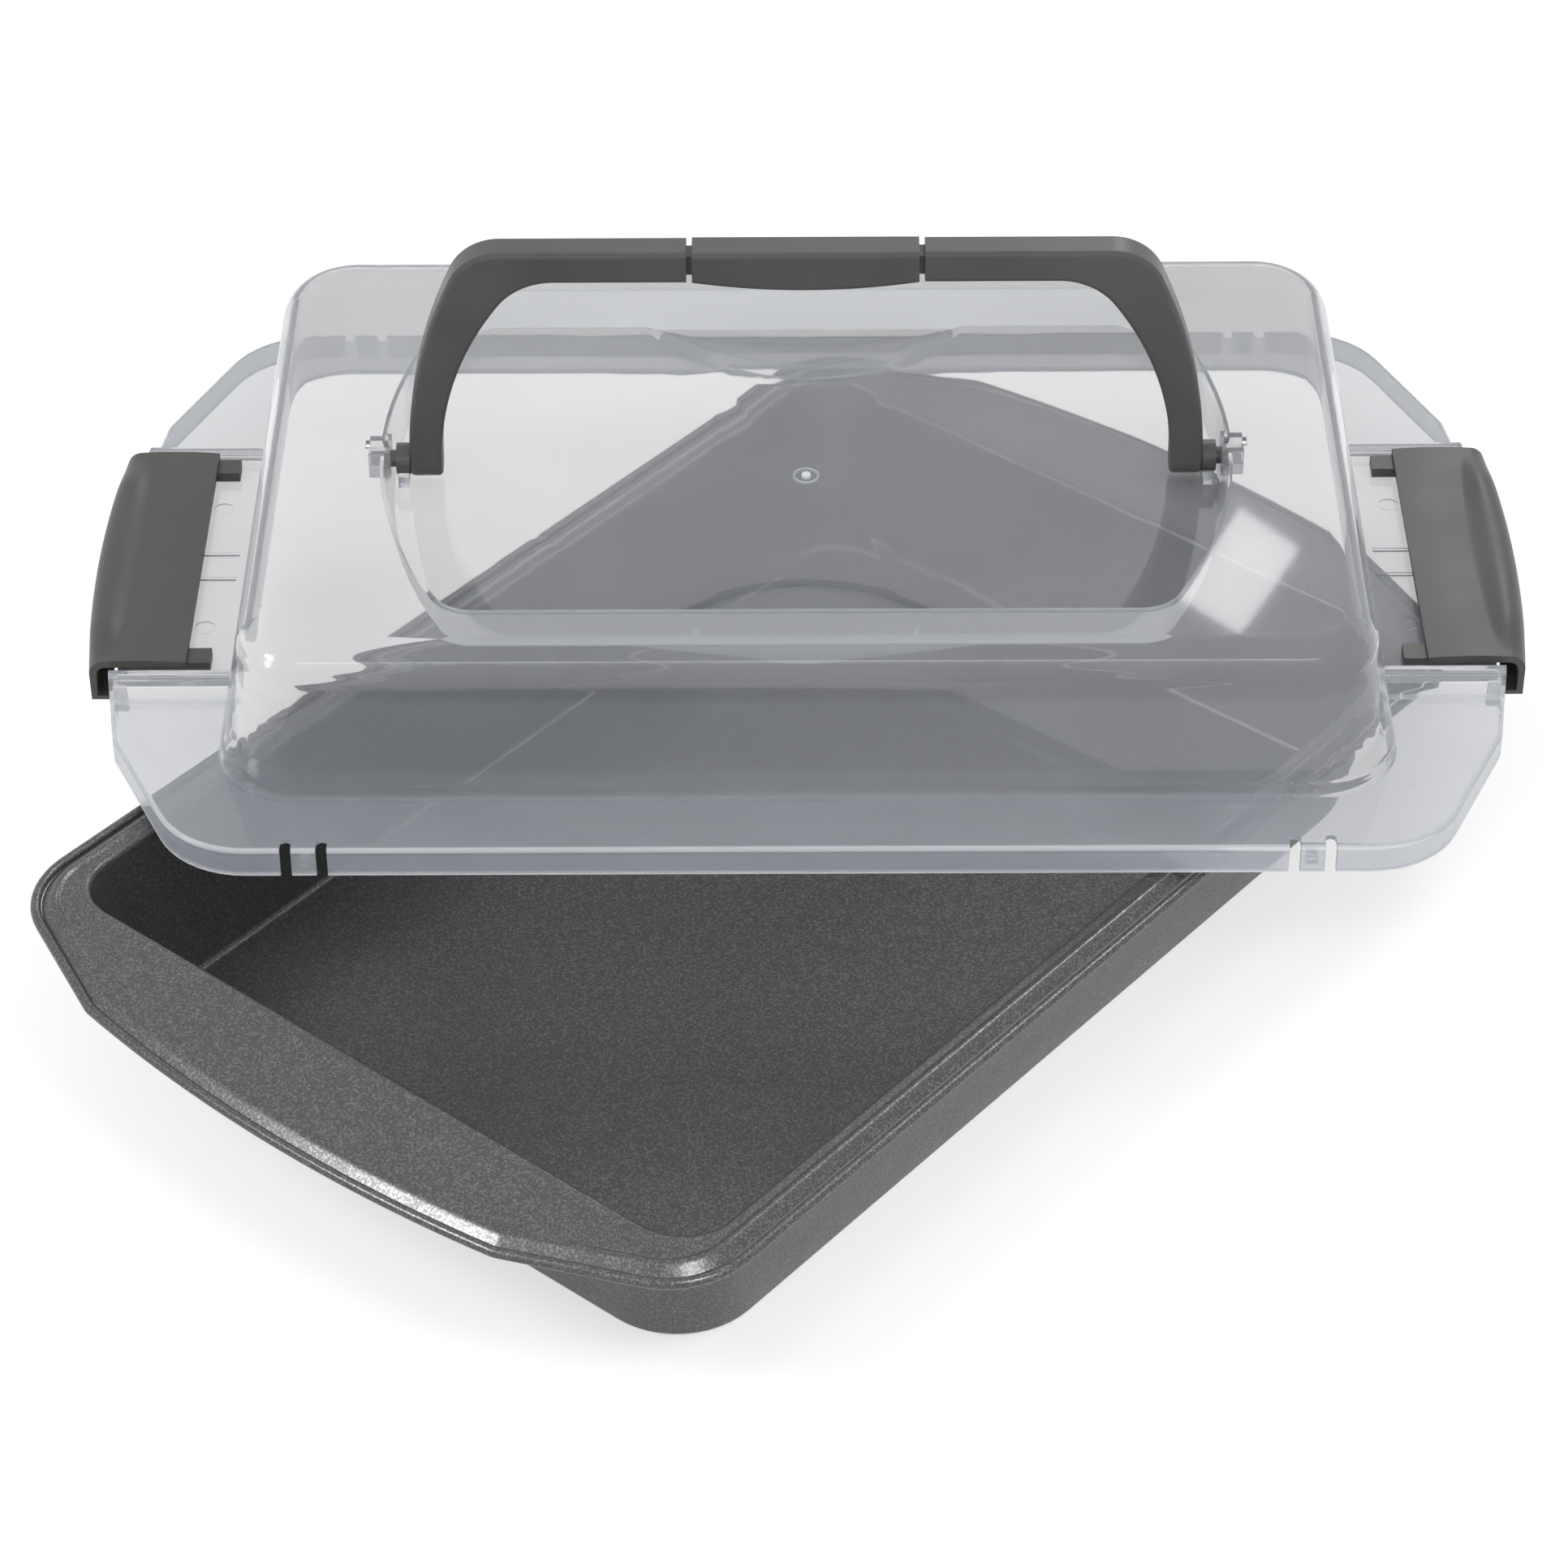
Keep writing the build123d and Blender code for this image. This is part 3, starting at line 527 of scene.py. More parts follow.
def ring_mesh(name: str, rings: Sequence[Ring]) -> Object:
    """Skin a stack of rings that all have the same number of points, and close both ends.

    Args:
        name: The piece's name.
        rings: The rings in order, in millimetres.

    Returns:
        The new object, smooth and with its faces outwards.
    """
    count = len(rings[0])
    last = len(rings) - 1
    faces = [tuple(range(count)), tuple(last * count + i for i in range(count))]
    for r in range(last):
        a, b = r * count, (r + 1) * count
        faces += [(a + i, a + (i + 1) % count, b + (i + 1) % count, b + i) for i in range(count)]
    mesh = bpy.data.meshes.new(name)
    mesh.from_pydata([tuple(c * MM for c in p) for ring in rings for p in ring], [], faces)
    return finish_mesh(name, mesh)


def merge_and_smooth(source: Mesh, target: Mesh, crease: float, turn_out: bool) -> None:
    """Merge a mesh's doubles and shade its rounded faces smooth.

    Args:
        source: The mesh.
        target: The mesh that the result is written to.
        crease: Edges that turn by more degrees than this stay sharp.
        turn_out: Whether its faces are turned outwards.
    """
    work = bmesh.new()
    work.from_mesh(source)
    bmesh.ops.remove_doubles(work, verts=work.verts, dist=1e-6)
    if turn_out:
        bmesh.ops.recalc_face_normals(work, faces=work.faces)
    for face in work.faces:
        face.smooth = True
    for edge in work.edges:
        edge.smooth = len(edge.link_faces) == 2 and edge.calc_face_angle(0.0) < radians(crease)
    work.to_mesh(target)
    work.free()


def finish_mesh(name: str, mesh: Mesh) -> Object:
    """Merge a closed mesh's doubles, turn its faces outwards, shade it smooth and link it."""
    merge_and_smooth(mesh, mesh, NEW_CREASE, True)
    mesh.name = name
    return add_object(name, mesh)


def smooth_copy(source: Object, name: str, crease: float) -> Object:
    """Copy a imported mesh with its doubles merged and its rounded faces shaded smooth.

    Args:
        source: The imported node.
        name: The copy's name.
        crease: Edges that turn by more degrees than this stay sharp.

    Returns:
        The copy, a plain mesh whose normals lean to its large faces, so that flats stay flat.
    """
    mesh = bpy.data.meshes.new(name + "_faceted")
    merge_and_smooth(source.data, mesh, crease, False)
    carrier = add_object(name + "_faceted", mesh)
    even = carrier.modifiers.new("even_normals", "WEIGHTED_NORMAL")
    even.mode, even.weight, even.keep_sharp = "FACE_AREA_WITH_ANGLE", 50, True
    plain = settle(carrier)
    plain.name = name
    return add_object(name, plain)


# Pan

@dataclass
class PressedPan:
    """Oblong pan pressed from one sheet: walls, ledge, handles, and a rim rolled over a hem.

    Section sizes along the rim are given twice, for the long sides and for the handle ends, and
    blend round the corners.
    """

    opening_half: Pair = (165.0, 113.5)
    opening_corner: float = 16.0
    floor_half: Pair = (156.5, 105.0)
    floor_corner: float = 24.0
    top: float = 51.7
    sheet: float = 0.9
    wall_lean: float = 9.5
    floor_round: float = 2.0
    lip_round: float = 1.9
    ledge_drop: float = 0.85
    rim_half_width: float = 125.8
    rim_corner: float = 27.0
    kink: Pair = (195.8, 74.0)
    kink_round: float = 10.0
    tip: float = 201.6
    diagonal_lean: float = 23.6
    crest_in: Pair = (7.3, 6.6)       # crest of the roll, in from the outer edge
    edge_in: Pair = (3.7, 2.4)        # where the slope ends over the hem
    edge_drop: Pair = (2.5, 2.7)
    hem_radius: float = 1.5
    hem_drop: float = 2.9
    hem_sides: int = 16
    # Foot of the roll: how far in from its crest on the sides and at the ends, and the share of the
    # ledge's drop that is left there
    roll_foot: tuple[tuple[float, ...], ...] = ((1.7, 1.3, 1.0), (1.1, 0.9, 0.68), (0.5, 0.5, 0.2))
    # Top of the roll: share of the way from crest to edge, and the drop on the sides and at the ends
    roll_top: tuple[tuple[float, ...], ...] = ((0.0, 0.0, 0.03), (0.12, 0.08, 0.14), (0.25, 0.25, 0.3))
    roll_slope: tuple[float, ...] = (0.45, 0.65, 0.85)
    edge_turn: Pair = (0.02, 0.45)       # inset and drop where the edge turns down
    edge_under: Pair = (0.9, 0.75)       # the same under the edge, inside the hem
    corner_share: float = 0.55          # share of handle end that the corner's end has reached
    least_corner: float = 4.0           # radius, of any ring on the floor
    least_round: float = 0.9            # radius, of the lip
    arc_steps: tuple[int, int] = (8, 5)         # of the floor's round and of the lip's
    lip_gap: float = 1.0        # the wall's rings stay this far below the lip's round
    # Where rings lie on the floor, the wall and the ledge, as shares of the way out or up
    floor_shares: tuple[float, ...] = (0.35, 0.7, 0.9)
    wall_shares: tuple[float, ...] = (0.25, 0.5, 0.75)
    ledge_shares: tuple[float, ...] = (0.2, 0.45, 0.7, 0.88)
    # Points along a quarter: long side, corner, diagonal, kink and bowed end
    steps: tuple[int, ...] = (14, 12, 8, 4, 12)

    def outer(self, inset: float) -> list[tuple[float, float, float]]:
        """Trace one quarter of the handled outline, set in by a distance.

        Args:
            inset: How far inside the rim's outer edge.

        Returns:
            X and y of each point, with its share from long side (0) to handle end (1).
        """
        lean = radians(self.diagonal_lean)
        kx, ky = self.kink
        corner = Vector((kx - (self.rim_half_width - ky) * tan(lean), self.rim_half_width))
        down = Vector((sin(lean), -cos(lean)))
        reach = self.rim_corner * tan((pi / 2 - lean) / 2)
        bow = self.tip - kx
        radius = (ky * ky + bow * bow) / (2 * bow)
        bow_angle = asin(ky / radius)
        kink_reach = self.kink_round * tan((lean - bow_angle) / 2)
        n = self.steps
        found: list[tuple[Vector, Vector, float]] = []

        def fan(middle: Vector, radius: float, first: float, last: float,
                shares: Sequence[float]) -> None:
            """Add an arc's points, one for each share, and leave its end to the next stretch."""
            for i, share in enumerate(shares):
                a = mix(first, last, i / len(shares))
                way = Vector((cos(a), sin(a)))
                found.append((middle + way * radius, way, share))

        start_x = corner.x - reach
        for i in range(n[0]):
            found.append((Vector((start_x * i / n[0], self.rim_half_width)), Vector((0, 1)), 0.0))
        fan(Vector((start_x, self.rim_half_width - self.rim_corner)), self.rim_corner, pi / 2, lean,
            [self.corner_share * smooth_step(i / n[1]) for i in range(n[1])])
        first = corner + down * reach
        last = Vector(self.kink) - down * kink_reach
        way = Vector((cos(lean), sin(lean)))
        for i in range(n[2]):
            found.append((first.lerp(last, i / n[2]), way, mix(self.corner_share, 1.0, i / n[2])))
        fan(last - way * self.kink_round, self.kink_round, lean, bow_angle, [1.0] * n[3])
        fan(Vector((self.tip - radius, 0)), radius, bow_angle - kink_reach / radius, 0.0, [1.0] * n[4])
        found.append((Vector((self.tip, 0)), Vector((1, 0)), 1.0))
        return [(*(point - way * inset), share) for point, way, share in found]

    def inner(self, half: Pair, corner: float, height: float) -> list[Point]:
        """Trace one quarter of a rounded oblong with the same count of points as the rim.

        Args:
            half: Half length and half width.
            corner: Corner radius.
            height: Height of the points.

        Returns:
            The quarter's points.
        """
        a, b = half
        n = self.steps
        points: list[Point] = [((a - corner) * i / n[0], b, height) for i in range(n[0])]
        for i in range(n[1]):
            t = pi / 2 * i / n[1]
            points.append((a - corner + corner * sin(t), b - corner + corner * cos(t), height))
        upper, lower = ((self.kink[1] + side) * b / self.opening_half[1] for side in (1, -1))
        for first, last, count in zip((b - corner, upper, lower), (upper, lower, 0.0), n[2:]):
            points += [(a, mix(first, last, i / count), height) for i in range(count)]
        return points + [(a, 0.0, height)]

    def rim_ring(self, inset: Pair, drop: Pair) -> Ring:
        """Trace a ring round the rim, its inset and drop blended from side to end.

        Args:
            inset: Distance inside the outer edge, on the long sides and at the ends.
            drop: Distance below the top, on the long sides and at the ends.

        Returns:
            The closed ring.
        """
        return quarters([(mix(x0, x1, t), mix(y0, y1, t), self.top - mix(drop[0], drop[1], t))
                         for (x0, y0, t), (x1, y1, _) in zip(self.outer(inset[0]), self.outer(inset[1]))])

    def valley(self) -> tuple[list[float], list[float]]:
        """Say how much of the ledge's drop the lip and the valley before the roll keep.

        Returns:
            Two lists over the points of a quarter, for the lip and for the valley.
        """
        n = self.steps
        lip, hollow = ([1 - smooth_step((i - sum(n[:part])) / n[part]) for i in range(sum(n) + 1)]
                       for part in (1, 2))
        return lip, hollow

    def bowl_rings(self, skin: float) -> list[Ring]:
        """Make the rings of floor, walls and lip.

        Args:
            skin: 0 for the inside of the sheet, and the sheet's thickness for its outside.

        Returns:
            The rings, from the middle of the floor to the lip.
        """
        lean = radians(self.wall_lean)
        side = skin / cos(lean)
        base = self.sheet - skin
        radius = self.floor_round + skin
        turn = pi / 2 - lean
        reach = radius * tan(turn / 2)
        fa, fb = self.floor_half[0] + side, self.floor_half[1] + side
        oa, ob = self.opening_half[0] + side, self.opening_half[1] + side
        fc, oc = self.floor_corner + side, self.opening_corner + side
        lip, _ = self.valley()
        lip_reach = max(self.lip_round - skin, self.least_round) * tan(turn / 2)
        high = self.top - skin
        rise = high - base

        def wall(level: float) -> list[Point]:
            """Trace a quarter of the wall at a height."""
            t = (level - base) / rise
            return self.inner((mix(fa, oa, t), mix(fb, ob, t)), mix(fc, oc, t), level)

        def flat(share: float) -> list[Point]:
            """Trace a quarter of the floor at a share of its flat part."""
            return self.inner(((fa - reach) * share, (fb - reach) * share),
                              max(self.least_corner, (fc - reach) * share), base)

        rings = [quarters(flat(share)) for share in self.floor_shares]
        corner = self.inner((fa, fb), fc, base)
        end = wall(base + reach * cos(lean))
        low_steps, high_steps = self.arc_steps
        arcs = [arc_between(s, c, e, turn, low_steps) for s, c, e in zip(flat(1.0), corner, end)]
        rings += [quarters([arc[i] for arc in arcs]) for i in range(low_steps + 1)]
        rings += [quarters(wall(mix(base + reach, high - lip_reach - self.lip_gap, share)))
                  for share in self.wall_shares]
        low = wall(high - lip_reach * cos(lean))
        top = wall(high)
        out = self.inner((oa + lip_reach, ob + lip_reach), oc + lip_reach, high)
        turned = [arc_between(s, c, e, turn, high_steps) for s, c, e in zip(low, top, out)]
        for i in range(high_steps + 1):
            rings.append(quarters([(arc[i][0], arc[i][1], arc[i][2] - self.ledge_drop * keep)
                                   for arc, keep in zip(turned, lip)]))
        return rings

    def valley_rings(self, first: Ring, last: Ring, skin: float) -> list[Ring]:
        """Fill from the lip to the foot of the roll, with the valley that fades at the handles.

        Args:
            first: The lip's last ring.
            last: The ring at the roll's foot.
            skin: How far below the top face the rings lie.

        Returns:
            The rings between the two.
        """
        lip, hollow = self.valley()
        lips = quarters([(0, 0, k) for k in lip])
        hollows = quarters([(0, 0, k) for k in hollow])
        rings = []
        for share in self.ledge_shares:
            rings.append([(mix(a[0], b[0], share), mix(a[1], b[1], share),
                           self.top - skin - self.ledge_drop * mix(keep[2], deep[2], share))
                          for a, b, keep, deep in zip(first, last, lips, hollows)])
        return rings

    def build_sheet(self) -> Object:
        """Make the pressed sheet, closed all round.

        Returns:
            The sheet's object.
        """
        _, hollow = self.valley()
        deep = quarters([(0, 0, k) for k in hollow])
        inside = self.bowl_rings(0.0)
        c, e, d = self.crest_in, self.edge_in, self.edge_drop
        span = (c[0] - e[0], c[1] - e[1])

        def along(share: float) -> Pair:
            """Give the insets at a share of the way from crest to edge."""
            return (c[0] - span[0] * share, c[1] - span[1] * share)

        def lowered(ring: Ring, share: float) -> Ring:
            """Lower a ring by a share of the ledge's drop."""
            return [(x, y, z - self.ledge_drop * share * k[2]) for (x, y, z), k in zip(ring, deep)]

        def crest(skin: float) -> list[Ring]:
            """Trace the roll from its foot over its crest, a skin below the top face."""
            foot = [lowered(self.rim_ring((c[0] + a, c[1] + b), (skin, skin)), share)
                    for a, b, share in self.roll_foot]
            return foot + [self.rim_ring(along(share), (skin + a, skin + b))
                           for share, a, b in self.roll_top]

        top = crest(0.0)
        near, side_drop, end_drop = self.roll_top[-1]
        for share in self.roll_slope:
            t = (share - near) / (1 - near)
            top.append(self.rim_ring(along(share), (mix(side_drop, d[0], t), mix(end_drop, d[1], t))))
        top.append(self.rim_ring(e, d))
        inset, drop = self.edge_turn
        top.append(self.rim_ring((e[0] + inset, e[1] + inset), (d[0] + drop, d[1] + drop)))
        under = crest(self.sheet)
        inset, drop = self.edge_under
        below = [self.rim_ring((e[0] + inset, e[1] + inset), (d[0] + drop, d[1] + drop))]
        below += list(reversed(under))
        outside = self.bowl_rings(self.sheet)
        rings = inside + self.valley_rings(inside[-1], top[0], 0.0) + top + below
        rings += list(reversed(self.valley_rings(outside[-1], under[0], self.sheet)))
        rings += list(reversed(outside))
        return ring_mesh("pan_pressed_sheet", rings)

    def build_hem(self, coat: Material) -> Object:
        """Sweep the rolled hem round the rim with Geometry Nodes."""
        path = self.rim_ring((self.hem_radius, self.hem_radius), (self.hem_drop, self.hem_drop))
        return sweep("pan_rolled_hem", path, self.hem_radius, self.hem_sides, coat)

    def build(self, coat: Material) -> list[Object]:
        """Make the pan and set it in place of its CAD node."""
        pieces = [self.build_sheet(), self.build_hem(coat)]
        for piece in pieces:
            place_piece(piece, coat, Body.PAN)
            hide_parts("pan_body")
        return pieces


def sweep(name: str, path: Ring, radius: float, sides: int, finish: Material) -> Object:
    """Sweep a round section along a closed path with Geometry Nodes.

    Args:
        name: The piece's name.
        path: The path's points, in millimetres.
        radius: Radius of the section, in millimetres.
        sides: How many sides the section has.
        finish: The material that the tree sets.

    Returns:
        The swept object, a plain mesh.
    """
    mesh = bpy.data.meshes.new(name + "_path")
    count = len(path)
    mesh.from_pydata([tuple(c * MM for c in p) for p in path],
                     [(i, (i + 1) % count) for i in range(count)], [])
    carrier = add_object(name + "_path", mesh)
    tree = bpy.data.node_groups.new(name + "_sweep", "GeometryNodeTree")
    face = tree.interface
    face.new_socket("Path", in_out="INPUT", socket_type="NodeSocketGeometry")
    radius_in = face.new_socket("Radius", in_out="INPUT", socket_type="NodeSocketFloat")
    sides_in = face.new_socket("Sides", in_out="INPUT", socket_type="NodeSocketInt")
    finish_in = face.new_socket("Finish", in_out="INPUT", socket_type="NodeSocketMaterial")
    face.new_socket("Swept", in_out="OUTPUT", socket_type="NodeSocketGeometry")
    given = add_node(tree, "NodeGroupInput").outputs
    line = add_node(tree, "GeometryNodeMeshToCurve", {}, {"Mesh": given["Path"]})
    section = add_node(tree, "GeometryNodeCurvePrimitiveCircle", {"mode": "RADIUS"},
                       {"Resolution": given["Sides"], "Radius": given["Radius"]})
    skin = add_node(tree, "GeometryNodeCurveToMesh", {}, {"Curve": line.outputs["Curve"],
                    "Profile Curve": section.outputs["Curve"]})
    real = add_node(tree, "GeometryNodeRealizeInstances", {}, {"Geometry": skin.outputs["Mesh"]})
    dressed = add_node(tree, "GeometryNodeSetMaterial", {}, {"Geometry": real.outputs["Geometry"],
                       "Material": given["Finish"]})
    add_node(tree, "NodeGroupOutput", {}, {"Swept": dressed.outputs["Geometry"]})
    modifier = carrier.modifiers.new("sweep", "NODES")
    modifier.node_group = tree
    modifier[radius_in.identifier] = radius * MM
    modifier[sides_in.identifier] = sides
    modifier[finish_in.identifier] = finish
    return finish_mesh(name, settle(carrier))


# Lid, carry handle and latches

@dataclass
class ClearLid:
    """Domed lid with the handle's well, flange, skirt, tabs and latch shelves, one moulding."""

    shell: str = "lid_shell"
    crease: float = 32.0
    wall: float = 1.5
    shoulder: float = 11.0              # outer radius of the round between plateau and walls
    shoulder_centre: float = 44.8       # height of that round's centre
    inside: Pair = (135.0, 90.0)         # the shoulder lies outside this half size
    straight: Pair = (128.0, 76.0)       # half lengths of its straight stretches
    rises: Pair = (0.08, 1.01)   # upward part of the round's normal, lowest and highest
    least_flat: float = 1e-5            # a normal with less sideways part than this is left alone
    closeness: float = 20.0             # most degrees between a facet's normal and the round's

    def build(self, clear: Material) -> Object:
        """Make the lid's shell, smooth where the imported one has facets, and dress it."""
        shell = smooth_copy(frame["nodes"][self.shell], "lid_moulded_shell", self.crease)
        self.ease_shoulder(shell.data)
        place_piece(shell, clear, Body.LID)
        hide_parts(self.shell)
        return shell

    def ease_shoulder(self, mesh: Mesh) -> None:
        """Give the shoulder's facets the normals of the true round, so that it bends light evenly.

        Args:
            mesh: The shell's mesh.
        """
        space = LidSpace.find()
        home = Matrix.Rotation(-space.turn, 3, "Z")
        away = Matrix.Rotation(space.turn, 3, "Z")
        normals = [corner.vector.copy() for corner in mesh.corner_normals]
        for i, loop in enumerate(mesh.loops):
            place = home @ (mesh.vertices[loop.vertex_index].co / MM - space.origin)
            if abs(place.x) < self.inside[0] and abs(place.y) < self.inside[1]:
                continue
            normal = home @ normals[i]
            side = 1 if normal.z > 0 else -1
            radius = self.shoulder if side > 0 else self.shoulder - self.wall
            rise = (place.z - self.shoulder_centre) / radius
            flat = Vector((normal.x, normal.y))
            if not self.rises[0] <= rise <= self.rises[1] or flat.length < self.least_flat:
                continue
            if abs(place.x) < self.straight[0]:
                flat = Vector((0.0, flat.y))
            elif abs(place.y) < self.straight[1]:
                flat = Vector((flat.x, 0.0))
            rise = min(rise, 1.0)
            flat = flat.normalized() * (1 - rise * rise) ** 0.5
            true = Vector((flat.x, flat.y, side * rise))
            if true.dot(normal) > cos(radians(self.closeness)):
                normals[i] = away @ true
        mesh.normals_split_custom_set(normals)


@dataclass
class CarryHandle:
    """Folding carry handle: two arms with moulded pins, and the grip between them."""

    parts: tuple[str, ...] = ("handle_arm_left", "handle_arm_right", "handle_grip")

    def build(self, grey: Material) -> list[Object]:
        """Dress the handle's parts and return them."""
        for name in self.parts:
            dress(frame["nodes"][name], grey)
        return [frame["nodes"][name] for name in self.parts]


@dataclass
class EndLatch:
    """Sliding end latch: its packed plate and hook, and the raised lip that fingers pull on.

    Distances along the lid are given for the right end, and mirrored for the left.
    """

    side: Side
    body: Body
    node: str
    edge: Pair = (207.2, 210.3)      # outer edge at the latch's sides, and in its middle
    half_width: float = 53.0
    crown_height: float = 16.8
    crown_middle: float = 193.1
    crown_radius: float = 150.0
    edge_round: float = 4.6
    lip_rise: float = 1.8
    lip_crest: float = 5.2          # crest of the lip, in from the edge
    lip_toe: Pair = (8.0, 14.0)      # foot of the lip, at its ends and in its middle
    lip_skin: float = 0.5
    edge_swell: float = 0.02        # how far the lip stands out at the foot of the edge's round
    taper: float = 18.0
    end_margin: float = 1.0
    sink: float = 0.06              # how far the lip's border dips into the plate
    rings: int = 56
    plate_steps: int = 12
    edge_steps: int = 8

    def plate_top(self, x: float) -> float:
        """Give the height of the crowned plate at a distance along the lid."""
        off = x - self.crown_middle
        return self.crown_height - self.crown_radius + (self.crown_radius ** 2 - off * off) ** 0.5

    def section(self, v: float) -> Ring:
        """Trace the lip's closed section at a place across the latch.

        Args:
            v: Place across the latch.

        Returns:
            The section's points in the scene, in millimetres.
        """
        bow = self.edge[1] - self.edge[0]
        arc = (self.half_width ** 2 + bow * bow) / (2 * bow)
        edge = self.edge[1] - arc + (arc * arc - v * v) ** 0.5
        strength = smooth_step((self.half_width - self.end_margin - abs(v)) / self.taper)
        rise = mix(-self.sink, self.lip_rise, strength)
        toe = mix(self.lip_toe[1], self.lip_toe[0], (v / self.half_width) ** 2)
        centre = edge - self.edge_round
        base = self.plate_top(centre) - self.edge_round
        upper: list[Pair] = []
        lower: list[Pair] = []
        for i in range(self.plate_steps + 1):
            d = mix(toe, self.edge_round, i / self.plate_steps)
            lift = mix(-self.sink, rise, smooth_step((toe - d) / (toe - self.lip_crest)))
            upper.append((edge - d, self.plate_top(edge - d) + lift))
            lower.append((edge - d, self.plate_top(edge - d) - self.lip_skin))
        rest = mix(-self.sink, self.edge_swell, strength)
        for i in range(1, self.edge_steps + 1):
            a = pi / 2 * (1 - i / self.edge_steps)
            reach = self.edge_round + mix(rest, rise, sin(a) ** 2)
            upper.append((centre + reach * cos(a), base + reach * sin(a)))
            reach = self.edge_round - self.lip_skin
            lower.append((centre + reach * cos(a), base + reach * sin(a)))
        lower.reverse()
        space = LidSpace.find()
        return [space.point(self.side.value * x, v, w) for x, w in upper + lower]

    def build_lip(self) -> Object:
        """Make the raised finger lip along the outer edge."""
        reach = self.half_width - self.end_margin
        rings = [self.section(mix(-reach, reach, i / (self.rings - 1))) for i in range(self.rings)]
        return ring_mesh(self.node + "_finger_lip", rings)

    def build(self, grey: Material) -> list[Object]:
        """Dress the latch and add its lip."""
        plate = frame["nodes"][self.node]
        dress(plate, grey)
        lip = self.build_lip()
        place_piece(lip, grey, self.body)
        return [plate, lip]


# Studio

def in_sight(tree: NodeTree) -> NodeSocket:
    """Mark with 1 what the camera sees, straight, through glass or mirrored."""
    path = add_node(tree, "ShaderNodeLightPath").outputs
    return chain(tree, "MAXIMUM", path["Is Camera Ray"], path["Is Transmission Ray"],
                 path["Is Glossy Ray"])


@dataclass
class SoftBox:
    """One rectangular studio lamp, aimed at a point of the scene."""

    name: str
    place: Point
    aim: Point
    size: Pair
    power: float
    lit: Lit = Lit.ALL
    roll: float = 0.0           # turn about its own beam, in degrees
    mirrored_only: bool = False         # a lamp that only shows as a highlight

    def build(self, groups: dict[Lit, Collection]) -> Object:
        """Make the lamp.

        Args:
            groups: What a flagged lamp still lights.

        Returns:
            The lamp's object.
        """
        lamp = bpy.data.lights.new(self.name, "AREA")
        lamp.shape = "RECTANGLE"
        lamp.size, lamp.size_y = self.size
        lamp.energy = self.power
        obj = add_object(self.name, lamp)
        obj.location = self.place
        way = Vector(self.aim) - Vector(self.place)
        roll = Matrix.Rotation(radians(self.roll), 3, "Z")
        obj.rotation_euler = (way.to_track_quat("-Z", "Y").to_matrix() @ roll).to_euler()
        obj.visible_diffuse = not self.mirrored_only
        if self.lit in groups:
            obj.light_linking.receiver_collection = groups[self.lit]
        return obj


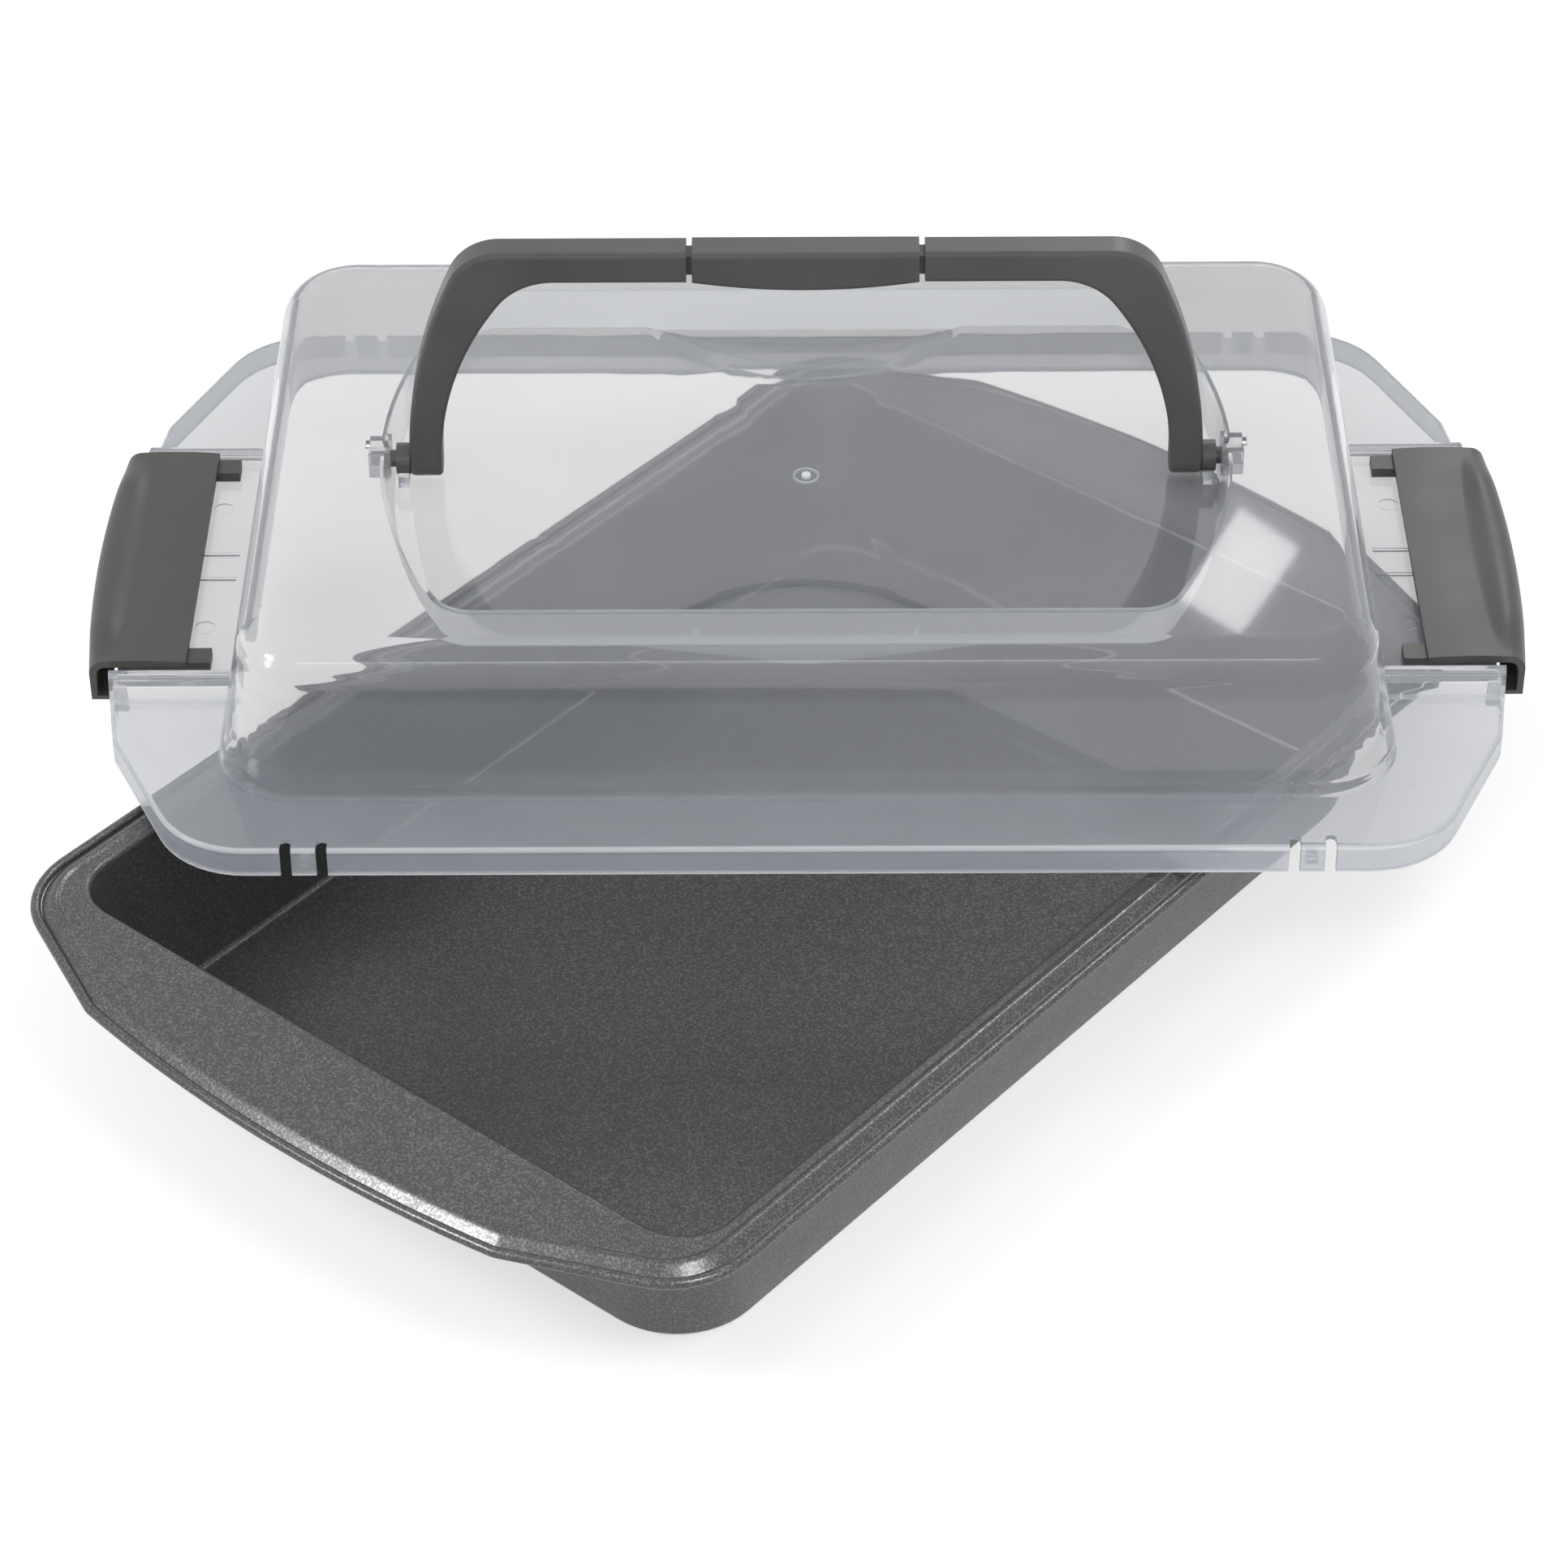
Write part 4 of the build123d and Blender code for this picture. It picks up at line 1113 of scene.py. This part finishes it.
@dataclass
class Studio:
    """Pale floor, white surround, soft lamps, and the camera of the photograph."""

    eye: Point = (-0.809087, -0.685025, 0.88734)
    ahead: Point = (0.60003279, 0.50217308, -0.62272213)
    right: Point = (0.63884376, -0.76932136, -0.00482602)
    up: Point = (0.48149694, 0.39492638, 0.78242818)
    lens: float = 108.5
    floor_size: float = 6.0
    floor_paint: float = 0.88
    floor_lift: float = 0.6     # share of plain white in the floor, so that only shadow shows
    floor_gap: float = 0.0002   # floor below the pan's underside
    fill: float = 0.85
    lamps: list[SoftBox] = field(default_factory=lambda: [
        SoftBox("left_rim_box", (-1.1, 0.52, 1.27), (-0.2, -0.04, 0.05), (0.42, 0.42), 15.0, Lit.PAN),
        SoftBox("near_rim_box", (-0.34, -0.95, 1.38), (-0.17, -0.12, 0.05), (0.38, 0.38), 9.5, Lit.PAN),
        SoftBox("right_rim_box", (1.15, -0.2, 1.4), (0.0, -0.1, 0.05), (0.22, 0.4), 5.5, Lit.PAN),
        SoftBox("right_latch_box", (1.3, 0.53, 0.99), (0.2, -0.11, 0.06), (0.3, 0.3), 2.2, Lit.OPAQUE),
        SoftBox("front_strip", (-1.11, -0.94, 1.04), (0.07, 0.04, 0.1), (1.8, 0.15), 2.6),
        SoftBox("shoulder_strip", (-1.11, -0.94, 1.04), (0.07, 0.04, 0.1), (1.5, 0.06), 4.0, Lit.LID,
                mirrored_only=True),
        SoftBox("left_window", (-1.25, 0.75, 0.55), (-0.1, 0.1, 0.08), (0.32, 0.32), 7.0, Lit.LID,
                mirrored_only=True),
        SoftBox("small_window", (1.387, 0.747, 1.219), (0.12, -0.07, 0.107), (0.05, 0.075), 0.065,
                roll=-30.0),
    ])

    def build(self, pan: Sequence[Object], grey: Sequence[Object], lid: Object) -> None:
        """Make the camera, the surround, the floor and the lamps.

        Args:
            pan: The pan's pieces.
            grey: The pieces of grey plastic.
            lid: The lid's shell.
        """
        self.make_camera()
        self.make_surround()
        floor = self.make_floor()
        groups = {}
        for lit, members in ((Lit.PAN, [*pan, floor]), (Lit.OPAQUE, [*pan, *grey, floor]),
                             (Lit.LID, [lid])):
            groups[lit] = bpy.data.collections.new(lit.value)
            for piece in members:
                groups[lit].objects.link(piece)
        for lamp in self.lamps:
            lamp.build(groups)
        bpy.context.scene.view_settings.view_transform = "Standard"

    def make_camera(self) -> None:
        """Place the camera where the photograph was taken from."""
        camera = bpy.data.cameras.new("photo_camera")
        camera.sensor_width = 36.0
        camera.lens = self.lens
        camera.clip_start, camera.clip_end = 0.05, 30.0
        obj = add_object("photo_camera", camera)
        turn = Matrix((self.right, self.up, [-c for c in self.ahead])).transposed()
        obj.matrix_world = Matrix.Translation(self.eye) @ turn.to_4x4()
        bpy.context.scene.camera = obj

    def make_surround(self) -> None:
        """Make a world that is soft grey light, and white wherever it is seen or mirrored."""
        world = bpy.data.worlds.new("studio_surround")
        bpy.context.scene.world = world
        world.use_nodes = True
        tree = world.node_tree
        tree.nodes.clear()
        fill, white = (add_node(tree, "ShaderNodeBackground", {}, {"Color": (1, 1, 1, 1),
                                "Strength": strength}) for strength in (self.fill, 1.0))
        both = add_node(tree, "ShaderNodeMixShader", {}, {0: in_sight(tree),
                        1: fill.outputs["Background"], 2: white.outputs["Background"]})
        add_node(tree, "ShaderNodeOutputWorld", {}, {"Surface": both.outputs["Shader"]})

    def make_floor(self) -> Object:
        """Make the pale floor, which shows white where nothing shades it.

        Returns:
            The floor.
        """
        material, tree = new_material("matt_white_table")
        paint = add_node(tree, "ShaderNodeBsdfDiffuse", {}, {"Color": (*(self.floor_paint,) * 3, 1)})
        lift = add_node(tree, "ShaderNodeEmission", {}, {"Color": (1, 1, 1, 1),
                        "Strength": in_sight(tree)})
        both = add_node(tree, "ShaderNodeMixShader", {}, {0: self.floor_lift, 1: paint.outputs["BSDF"],
                        2: lift.outputs["Emission"]})
        add_node(tree, "ShaderNodeOutputMaterial", {}, {"Surface": both.outputs["Shader"]})
        s = self.floor_size
        mesh = bpy.data.meshes.new("table")
        mesh.from_pydata([(-s, -s, 0), (s, -s, 0), (s, s, 0), (-s, s, 0)], [], [(0, 1, 2, 3)])
        mesh.materials.append(material)
        floor = add_object("table", mesh)
        floor.location.z = -self.floor_gap
        return floor


def dress(obj: Object, material: Material) -> None:
    """Give an object one material and report it."""
    obj.data.materials.clear()
    obj.data.materials.append(material)
    LOG.info("%s: %d faces, %s", obj.name, len(obj.data.polygons), material.name)


def place_piece(piece: Object, material: Material, body: Body) -> None:
    """Dress a new piece and attach it to its body."""
    dress(piece, material)
    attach(piece, body.value)


def main() -> None:
    """Build the scene around the frame."""
    logging.basicConfig(level=logging.INFO, format="%(name)s: %(message)s")
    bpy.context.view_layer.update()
    coat = BakeCoat().build()
    handle_grey = SatinPlastic("satin_grey_polypropylene", "#555554", "#4e4e4d").build()
    latch_grey = SatinPlastic("dull_grey_polypropylene", "#4c4c49", "#454542", 0.42).build()
    clear = ClearPlastic().build()
    pan = PressedPan().build(coat)
    lid = ClearLid().build(clear)
    grey = CarryHandle().build(handle_grey)
    grey += EndLatch(Side.LEFT, Body.LEFT_LATCH, "latch_left").build(latch_grey)
    grey += EndLatch(Side.RIGHT, Body.RIGHT_LATCH, "latch_right").build(latch_grey)
    Studio().build(pan, grey, lid)


if __name__ == "__main__":
    main()
